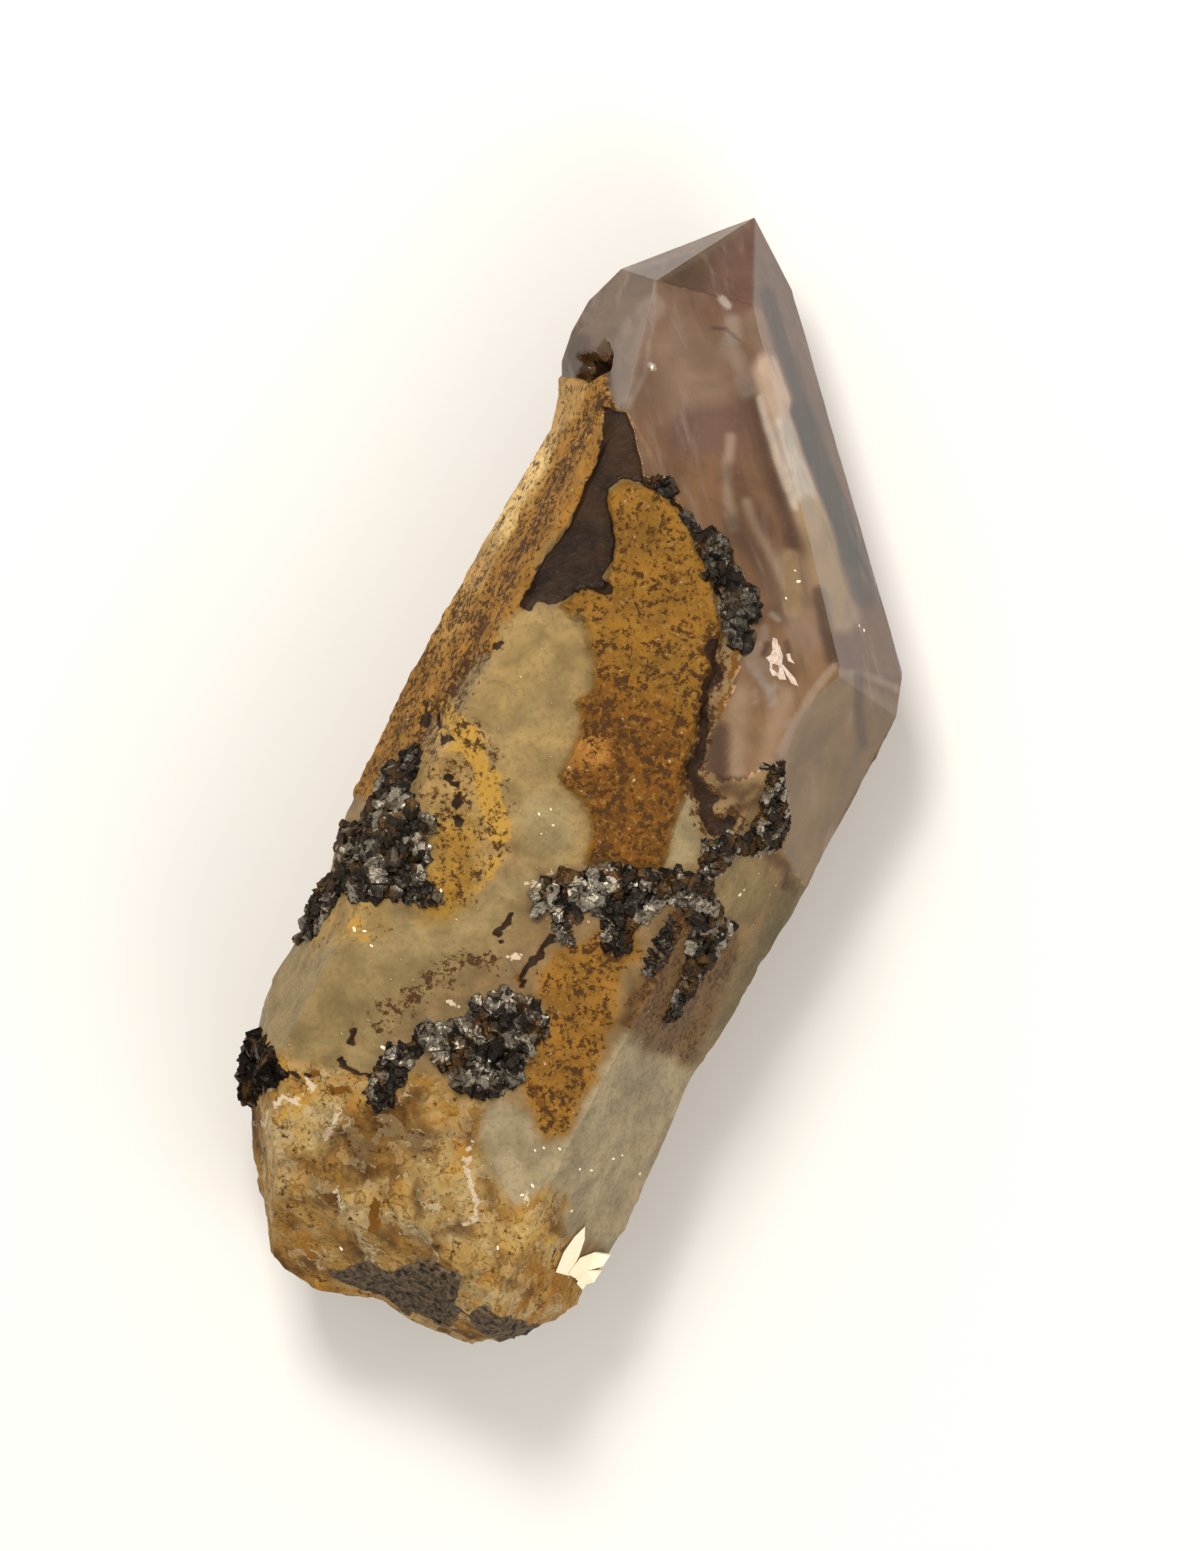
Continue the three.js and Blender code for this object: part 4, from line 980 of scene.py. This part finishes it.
def clear_quartz(settings):
    """The see-through tip, smoky brown to violet, with hazy streaks."""
    material, nodes, shader = new_material("Clear ametrine")
    tones = nodes.group("Stone mottle", Scale=0.9)
    inner = nodes.group("Inner veils", Scale=1.0)
    streak, fine = inner["Streak"], tones["Fine"]
    colour = nodes.varied(nodes.attribute("tone", "Color"), inner["Cloud"], 0.85, 1.25)
    for amount, tint in (
        (nodes.ramp(streak, 0.54, 0.72, 0, 0.45), (0.62, 0.46, 0.37)),
        (nodes.ramp(streak, 0.46, 0.3, 0, 0.3), (0.1, 0.06, 0.045)),
        (nodes.ramp(fine, 0.62, 0.8, 0, 0.25), (0.6, 0.5, 0.42)),
    ):
        colour = nodes.mix(amount, colour, tint)
    finish_surface(nodes, shader, colour, nodes.ramp(fine, 0.4, 0.8, 0.08, 0.2), tones["Middle"], 0.15, 0.2)
    set_values(shader, Transmission_Weight=settings.clearness, IOR=1.544, Specular_IOR_Level=0.2)
    volume = nodes.add("VolumeAbsorption", Color=(0.66, 0.5, 0.42), Density=50.0)
    nodes.plug(material.node_tree.nodes["Material Output"].inputs["Volume"], volume.outputs[0])
    return material


def stained_quartz(settings):
    """The cloudy and crusted body, its stains laid over one another by their masks."""
    material, nodes, shader = new_material("Stained quartz")
    ramp, times, frayed = nodes.ramp, nodes.times, nodes.frayed
    tones = nodes.group("Stone mottle", Scale=1.0)
    specks = nodes.group("Dendrite specks", Amount=nodes.attribute("speck"), Scale=1.3)
    pieces = nodes.group("Fracture", Scale=0.75)
    middle, fine, shade, crack = tones["Middle"], tones["Fine"], pieces["Shade"], pieces["Crack"]
    names = ("ochre", "brown", "under", "white", "amber", "yellow", "broken")
    masks = {name: nodes.attribute(name) for name in names}
    shown = ramp(nodes.attribute("speck"), 0.05, 0.2)
    crust = frayed(masks["ochre"], fine, 0.6)
    speck = times(specks["Mask"], shown)
    colour = nodes.varied(nodes.attribute("tone", "Color"), middle, 0.75, 1.25)
    colour = nodes.mix(ramp(fine, 0.5, 0.64, 0, 0.3), colour, (0.13, 0.08, 0.03))
    for amount, tint in (
        (ramp(shade, 0.55, 0.8, 0, 0.45), (0.5, 0.38, 0.2)),
        (ramp(shade, 0.4, 0.2, 0, 0.4), (0.26, 0.145, 0.035)),
        (ramp(middle, 0.5, 0.62, 0, 0.5), (0.32, 0.17, 0.03)),
        (ramp(fine, 0.54, 0.66, 0, 0.5), (0.14, 0.07, 0.02)),
        (times(crack, ramp(middle, 0.5, 0.6, 0, 0.7)), (0.1, 0.05, 0.016)),
        (times(crack, ramp(middle, 0.44, 0.38, 0, 0.6)), (0.55, 0.46, 0.3)),
    ):
        colour = nodes.mix(times(masks["broken"], amount), colour, tint)
    for amount, tint in (
        (times(frayed(masks["yellow"], middle, 1.9), 0.8), (0.43, 0.24, 0.03)),
        (times(crust, ramp(fine, 0.5, 0.66, 0, 0.6)), (0.3, 0.155, 0.03)),
        (frayed(masks["amber"], fine, 1.6), (0.15, 0.06, 0.006)),
        (times(times(specks["Halo"], shown), 0.75), (0.1, 0.042, 0.008)),
        (speck, (0.062, 0.026, 0.007)),
        (frayed(masks["white"], fine, 2.4), (0.56, 0.45, 0.31)),
        # Dark brown marks, and painted shade in the cavity.
        (frayed(masks["brown"], fine, 0.6), nodes.varied((0.024, 0.011, 0.004), middle, 0.5, 1.6)),
        # Under the goethite: brown stain, and painted shade between the grains.
        (frayed(masks["under"], fine, 0.7), nodes.varied((0.06, 0.042, 0.025), fine, 0.05, 2.6)),
    ):
        colour = nodes.mix(amount, colour, tint)
    dull = times(nodes.count("MAXIMUM", crust, masks["broken"]), 0.25)
    roughness = nodes.count("ADD", dull, ramp(fine, 0.3, 0.7, 0.4, 0.6))
    rough = nodes.count("SUBTRACT", masks["broken"], times(masks["under"], 0.5))
    height = nodes.count("ADD", times(fine, 0.6), times(speck, -0.25))
    height = nodes.count("ADD", height, times(times(pieces["Height"], 3.5), rough))
    finish_surface(nodes, shader, colour, roughness, height, 0.6, 0.25)
    set_values(
        shader, Specular_IOR_Level=0.15, Subsurface_Weight=0.15, Subsurface_Radius=(1.0, 0.7, 0.4),
        Subsurface_Scale=settings.milkiness)
    return material


def goethite_material(settings):
    """Black grains with patches of steel-grey sheen painted into their colour, and rusty hollows."""
    material, nodes, shader = new_material("Goethite")
    ramp = nodes.ramp
    tones = nodes.group("Stone mottle", Scale=1.3)
    pieces = nodes.group("Fracture", Scale=1.0)
    middle, fine, shade = tones["Middle"], tones["Fine"], nodes.attribute("shade")
    rust = nodes.count("ADD", middle, nodes.times(shade, 0.12))
    facing = nodes.count("SUBTRACT", pieces["Shade"], nodes.times(middle, 0.6))
    # Painted sheen: steel-grey patches laid into the colour on some chip faces, more on the lighter growths.
    painted_sheen = nodes.times(ramp(facing, 0.26, 0.4), ramp(shade, 0.0, 0.6, 0.0, 0.9))
    colour = nodes.mix(ramp(shade, 0.02, 0.15), (0.008, 0.006, 0.005), tuple(settings.colour))
    for amount, tint in (
        (ramp(rust, 0.55, 0.7), (0.1, 0.055, 0.022)), (painted_sheen, (0.36, 0.32, 0.25)),
        (ramp(fine, 0.5, 0.36, 0, 0.7), (0.012, 0.009, 0.007)),
    ):
        colour = nodes.mix(amount, colour, tint)
    height = nodes.count("ADD", fine, nodes.times(pieces["Height"], 1.5))
    finish_surface(nodes, shader, colour, ramp(rust, 0.4, 0.8, 0.22, 0.5), height, 0.5, 0.16)
    set_values(shader, Metallic=0.7, Specular_IOR_Level=0.12, Specular_Tint=(0.5, 0.42, 0.33, 1))
    return material


def pale_material(name, light, dark):
    """Chalky pale quartz, light with darker patches."""
    material, nodes, shader = new_material(name)
    fine = nodes.group("Stone mottle", Scale=1.5)["Fine"]
    finish_surface(nodes, shader, nodes.mix(nodes.ramp(fine, 0.4, 0.7), light, dark), 0.45, fine, 0.3, 0.1)
    return material


def surface_finder(context):
    """A function that gives the crystal's surface and its normal over a place."""
    tree = BVHTree.FromObject(bpy.data.objects["quartz_crystal"], context.evaluated_depsgraph_get())

    def find(x, y):
        above = Vector(((x - DRAWN_MIDDLE[0]) * MM, (y - DRAWN_MIDDLE[1]) * MM, 40 * MM))
        hit, normal, _, _ = tree.ray_cast(above, Vector((0, 0, -1)))
        return (hit / MM + Vector((*DRAWN_MIDDLE, 0)), normal) if hit else (None, None)

    return find


def mark_faces(bm, clear):
    """Give each face the clear or the stained material, and keep the crystal's edges sharp."""
    for face in bm.faces:
        face.material_index = int(np.mean([clear[v.index] for v in face.verts]) < 0.5)
        face.smooth = True
    bm.normal_update()
    for edge in bm.edges:
        edge.smooth = len(edge.link_faces) == 2 and edge.calc_face_angle(0) < math.radians(35)


def store_coat(mesh, masks, tones):
    """Keep the masks and the colour as attributes of the mesh."""
    for name, values in masks.items():
        layer = mesh.attributes.new(name, "FLOAT", "POINT")
        layer.data.foreach_set("value", values.astype(np.float32))
    layer = mesh.attributes.new("tone", "FLOAT_COLOR", "POINT")
    opaque = np.column_stack([tones, np.ones(len(tones))])
    layer.data.foreach_set("color", opaque.ravel().astype(np.float32))


class AMETRINE_OT_crystal(bpy.types.Operator):
    """Build the quartz crystal with its clear tip and stained body."""

    bl_idname = "ametrine.crystal"
    bl_label = "Build quartz crystal"

    def execute(self, context):
        settings = context.scene.ametrine_crystal
        bm = crystal_mesh(settings.pitch / MM)
        bm.normal_update()
        flat = np.array([v.normal for v in bm.verts])
        coat = Coat(shape_sides(np.array([v.co for v in bm.verts])), flat)
        masks = coat.masks()
        tones = coat.tones(masks["clear"])
        co = coat.co + flat * relief(coat, masks, settings)[:, None]
        co[:, 2] = np.maximum(co[:, 2], 0)
        for vert, place in zip(bm.verts, co):
            vert.co = place
        bm.verts.index_update()
        mark_faces(bm, masks["clear"])
        piece = mesh_object("quartz_crystal", bm)
        store_coat(piece.data, masks, tones)
        for make_group in (mottle_group, fracture_group, veil_group, dendrite_group):
            make_group()
        piece.data.materials.append(clear_quartz(settings))
        piece.data.materials.append(stained_quartz(settings))
        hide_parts("quartz_point")
        return {"FINISHED"}


def nugget(rng):
    """One block with faces at many angles, about one millimetre in radius."""
    bm = bmesh.new()
    bmesh.ops.create_cube(bm, size=1.8)
    for _ in range(9):
        normal = Vector([rng.gauss(0, 1) for _ in range(3)]).normalized()
        cut = bmesh.ops.bisect_plane(
            bm, geom=bm.verts[:] + bm.edges[:] + bm.faces[:], dist=1e-5,
            plane_co=normal * rng.uniform(0.62, 0.95), plane_no=normal, clear_outer=True)["geom_cut"]
        edges = [e for e in cut if isinstance(e, bmesh.types.BMEdge) and e.is_boundary]
        if edges:
            bmesh.ops.contextual_create(bm, geom=edges)
    bmesh.ops.recalc_face_normals(bm, faces=bm.faces)
    mesh = bpy.data.meshes.new("nugget")
    bm.to_mesh(mesh)
    bm.free()
    return mesh


def strewn(outline, density, find, rng):
    """Places strewn inside an outline, more where it is steep, each with its distance from the edge."""
    low, high = np.min(outline, axis=0) - 0.15, np.max(outline, axis=0) + 0.15
    count = max(6, round(float(np.prod(high - low)) * density))
    places = []
    for _ in range(count):
        x, y = rng.uniform(low[0], high[0]), rng.uniform(low[1], high[1])
        normal = find(x, y)[1]
        steep = normal is None or normal.z < 0.7
        for _ in range(3 if steep else 1):
            places.append((x + rng.uniform(-0.2, 0.2), y + rng.uniform(-0.2, 0.2)))
    depth = inside(outline, np.array(places))
    return [(x, y, d) for (x, y), d in zip(places, depth) if d > -0.12]


def seat_of(x, y, outline, find):
    """The surface under a place, or for a place past the edge, that a little further in."""
    hit, normal = find(x, y)
    if hit is None:
        hit, normal = find(*np.mean(outline, axis=0) * 0.4 + np.array([x, y]) * 0.6)
        if hit is not None:
            hit.xy = x, y
    return hit, normal


def add_grain(bm, nuggets, hit, normal, size, depth, rng):
    """One grain, turned and stretched at random, that lies deeper near the growth's edge."""
    radius = size * rng.choice((0.5, 0.7, 0.9, 1.2, 1.6))
    lift = rng.uniform(-0.7, -0.2) * radius + 0.6 * min(max(depth, 0), 0.8) * rng.random()
    before = len(bm.verts)
    bm.from_mesh(rng.choice(nuggets))
    bm.verts.ensure_lookup_table()
    axis = Vector([rng.gauss(0, 1) for _ in range(3)])
    shape = Matrix.Diagonal((rng.uniform(0.8, 1.3), rng.uniform(0.7, 1.1), rng.uniform(0.7, 1.1), 1))
    move = Matrix.Translation(hit + normal * lift) @ Matrix.Rotation(rng.uniform(0, 6.3), 4, axis)
    bmesh.ops.transform(bm, matrix=move @ shape @ Matrix.Scale(radius, 4), verts=bm.verts[before:])
    return len(bm.verts) - before


class AMETRINE_OT_goethite(bpy.types.Operator):
    """Strew the goethite grains of every growth over the crystal."""

    bl_idname = "ametrine.goethite"
    bl_label = "Build goethite growths"

    def execute(self, context):
        settings = context.scene.ametrine_goethite
        find = surface_finder(context)
        rng = random.Random(SEED)
        nuggets = [nugget(rng) for _ in range(12)]
        material = goethite_material(settings)
        for name, patches in GROWTHS.items():
            bm = bmesh.new()
            shades = []
            for size, outline in patches:
                for x, y, depth in strewn(outline, settings.density * 0.4 / size, find, rng):
                    hit, normal = seat_of(x, y, outline, find)
                    if hit is None:
                        continue
                    count = add_grain(bm, nuggets, hit, normal, size, depth, rng)
                    shades += [SHADES[name] * min(1, size / 0.36) * rng.uniform(0.6, 1.4)] * count
            piece = mesh_object(name + "_grains", bm)
            piece.data.attributes.new("shade", "FLOAT", "POINT").data.foreach_set("value", shades)
            piece.data.materials.append(material)
            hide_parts(name)
        for mesh in nuggets:
            bpy.data.meshes.remove(mesh)
        return {"FINISHED"}


def flake(bm, outline, height, find):
    """A thin plate of the given outline, half sunk in the surface, with its upper rim drawn in."""
    middle = Vector([sum(place[axis] for place in outline) / len(outline) for axis in range(2)])
    corners = []
    for x, y in outline:
        hit = find(x, y)[0] or find(*middle)[0]
        corners.append(bm.verts.new((x, y, hit.z - height / 2)))
    face = bmesh.ops.contextual_create(bm, geom=corners)["faces"]
    bmesh.ops.triangulate(bm, faces=face)
    floor = [f for f in bm.faces if all(v in corners for v in f.verts)]
    raised = bmesh.ops.extrude_face_region(bm, geom=floor, use_keep_orig=True)["geom"]
    top = [v for v in raised if isinstance(v, bmesh.types.BMVert)]
    for vert in top:
        vert.co.z += height
        vert.co.xy = middle + (vert.co.xy - middle) * 0.94


def speck(bm, place, radius):
    """One tiny white speck, a painted glint."""
    made = bmesh.ops.create_icosphere(bm, subdivisions=1, radius=radius)["verts"]
    turn = Matrix.Rotation(place.x * 7, 4, Vector((1, 2, 3)))
    shape = Matrix.Diagonal((1.5, 0.8, 0.7, 1))
    bmesh.ops.transform(bm, matrix=Matrix.Translation(place) @ turn @ shape, verts=made)


class AMETRINE_OT_inclusions(bpy.types.Operator):
    """Build the white sprig in the tip, the white blades by the base and the white specks that are painted
    glints.
    """

    bl_idname = "ametrine.inclusions"
    bl_label = "Build white inclusions"

    def execute(self, context):
        settings = context.scene.ametrine_inclusions
        find = surface_finder(context)
        chalky = pale_material("White inclusion", (1.0, 0.9, 0.68), (0.95, 0.82, 0.56))
        pinkish = pale_material("Pinkish inclusion", (0.66, 0.52, 0.43), (0.4, 0.31, 0.25))
        for name, outlines, height, material in (
            ("white_sprig", SPRIG, settings.sprig_height / MM, pinkish),
            ("white_blades", BLADES, settings.blade_height / MM, chalky),
        ):
            bm = bmesh.new()
            for outline in outlines:
                flake(bm, outline, height, find)
            bmesh.ops.recalc_face_normals(bm, faces=bm.faces)
            piece = mesh_object(name, bm)
            piece.data.materials.append(material)
        # Painted glints: the tiny white specks where the surface sparkles.
        bm = bmesh.new()
        for x, y, size in GLINTS:
            hit, _ = find(x, y)
            speck(bm, hit, 0.8 * size)
        piece = mesh_object("glint_specks", bm)
        piece.data.materials.append(chalky)
        return {"FINISHED"}


def add_floor(scene, colour):
    """The pale floor that the crystal lies on."""
    bm = bmesh.new()
    bmesh.ops.create_grid(bm, x_segments=1, y_segments=1, size=1.5)
    mesh = bpy.data.meshes.new("floor")
    bm.to_mesh(mesh)
    bm.free()
    floor = bpy.data.objects.new("floor", mesh)
    scene.collection.objects.link(floor)
    material, _, shader = new_material("Pale floor")
    set_values(shader, Base_Color=(*colour, 1), Roughness=0.8)
    mesh.materials.append(material)


def add_lamp(scene, name, place, size, power, colour):
    """A soft lamp that points at the crystal."""
    lamp = bpy.data.lights.new(name, "AREA")
    lamp.energy, lamp.size, lamp.color = power, size, colour
    thing = bpy.data.objects.new(name, lamp)
    thing.location = place
    thing.rotation_euler = (-Vector(place)).to_track_quat("-Z", "Y").to_euler()
    scene.collection.objects.link(thing)


def add_camera(scene):
    """The camera straight above, turned as the photograph is."""
    camera = bpy.data.cameras.new("camera")
    camera.lens = LENS
    camera.sensor_width = SENSOR
    camera.clip_start = 0.01
    view = bpy.data.objects.new("camera", camera)
    right = Vector((*PHOTO_RIGHT, 0)).normalized()
    up = Vector((-right.y, right.x, 0))
    turn = Matrix((right, up, Vector((0, 0, 1)))).transposed().to_4x4()
    x, y, z = PHOTO_MIDDLE
    away = PHOTO_HEIGHT * LENS / SENSOR
    middle = Vector((x - DRAWN_MIDDLE[0], y - DRAWN_MIDDLE[1], z + away)) * MM
    view.matrix_world = Matrix.Translation(middle) @ turn
    scene.collection.objects.link(view)
    scene.camera = view


class AMETRINE_OT_studio(bpy.types.Operator):
    """Set up the pale floor, the soft light and the camera."""

    bl_idname = "ametrine.studio"
    bl_label = "Build studio"

    def execute(self, context):
        scene = context.scene
        settings = scene.ametrine_studio
        add_floor(scene, settings.floor_colour)
        world = bpy.data.worlds.new("Studio")
        world.use_nodes = True
        set_values(world.node_tree.nodes["Background"], Color=(1, 0.97, 0.93, 1), Strength=settings.sky)
        scene.world = world
        power = settings.key_power
        add_lamp(scene, "main_light", (-0.16, 0.14, 0.34), 0.12, power, (1, 0.95, 0.88))
        add_lamp(scene, "fill_light", (0.26, -0.12, 0.3), 0.25, 0.5 * power, (1, 0.93, 0.85))
        add_camera(scene)
        scene.view_settings.view_transform = "Standard"
        return {"FINISHED"}


class AMETRINE_PT_panel(bpy.types.Panel):
    """Lists the pieces and their settings."""

    bl_idname = "AMETRINE_PT_panel"
    bl_label = "Ametrine point"
    bl_space_type = "VIEW_3D"
    bl_region_type = "UI"
    bl_category = "Ametrine"

    def draw(self, context):
        for group, kind in SETTINGS.items():
            box = self.layout.box()
            for name in kind.__annotations__:
                box.prop(getattr(context.scene, group), name)
        for operator in OPERATORS:
            self.layout.operator(operator.bl_idname)


SETTINGS = {
    "ametrine_crystal": CrystalSettings,
    "ametrine_goethite": GoethiteSettings,
    "ametrine_inclusions": InclusionSettings,
    "ametrine_studio": StudioSettings,
}
OPERATORS = (AMETRINE_OT_crystal, AMETRINE_OT_goethite, AMETRINE_OT_inclusions, AMETRINE_OT_studio)


def register():
    """Register the classes and their settings."""
    for kind in (*SETTINGS.values(), *OPERATORS, AMETRINE_PT_panel):
        bpy.utils.register_class(kind)
    for name, kind in SETTINGS.items():
        setattr(bpy.types.Scene, name, bpy.props.PointerProperty(type=kind))


def unregister():
    """Take the classes and their settings out again."""
    for name in SETTINGS:
        delattr(bpy.types.Scene, name)
    for kind in (AMETRINE_PT_panel, *reversed(OPERATORS), *reversed(SETTINGS.values())):
        bpy.utils.unregister_class(kind)


def main():
    """Build everything."""
    register()
    for operator in OPERATORS:
        group, name = operator.bl_idname.split(".")
        getattr(getattr(bpy.ops, group), name)()


if __name__ == "__main__":
    main()
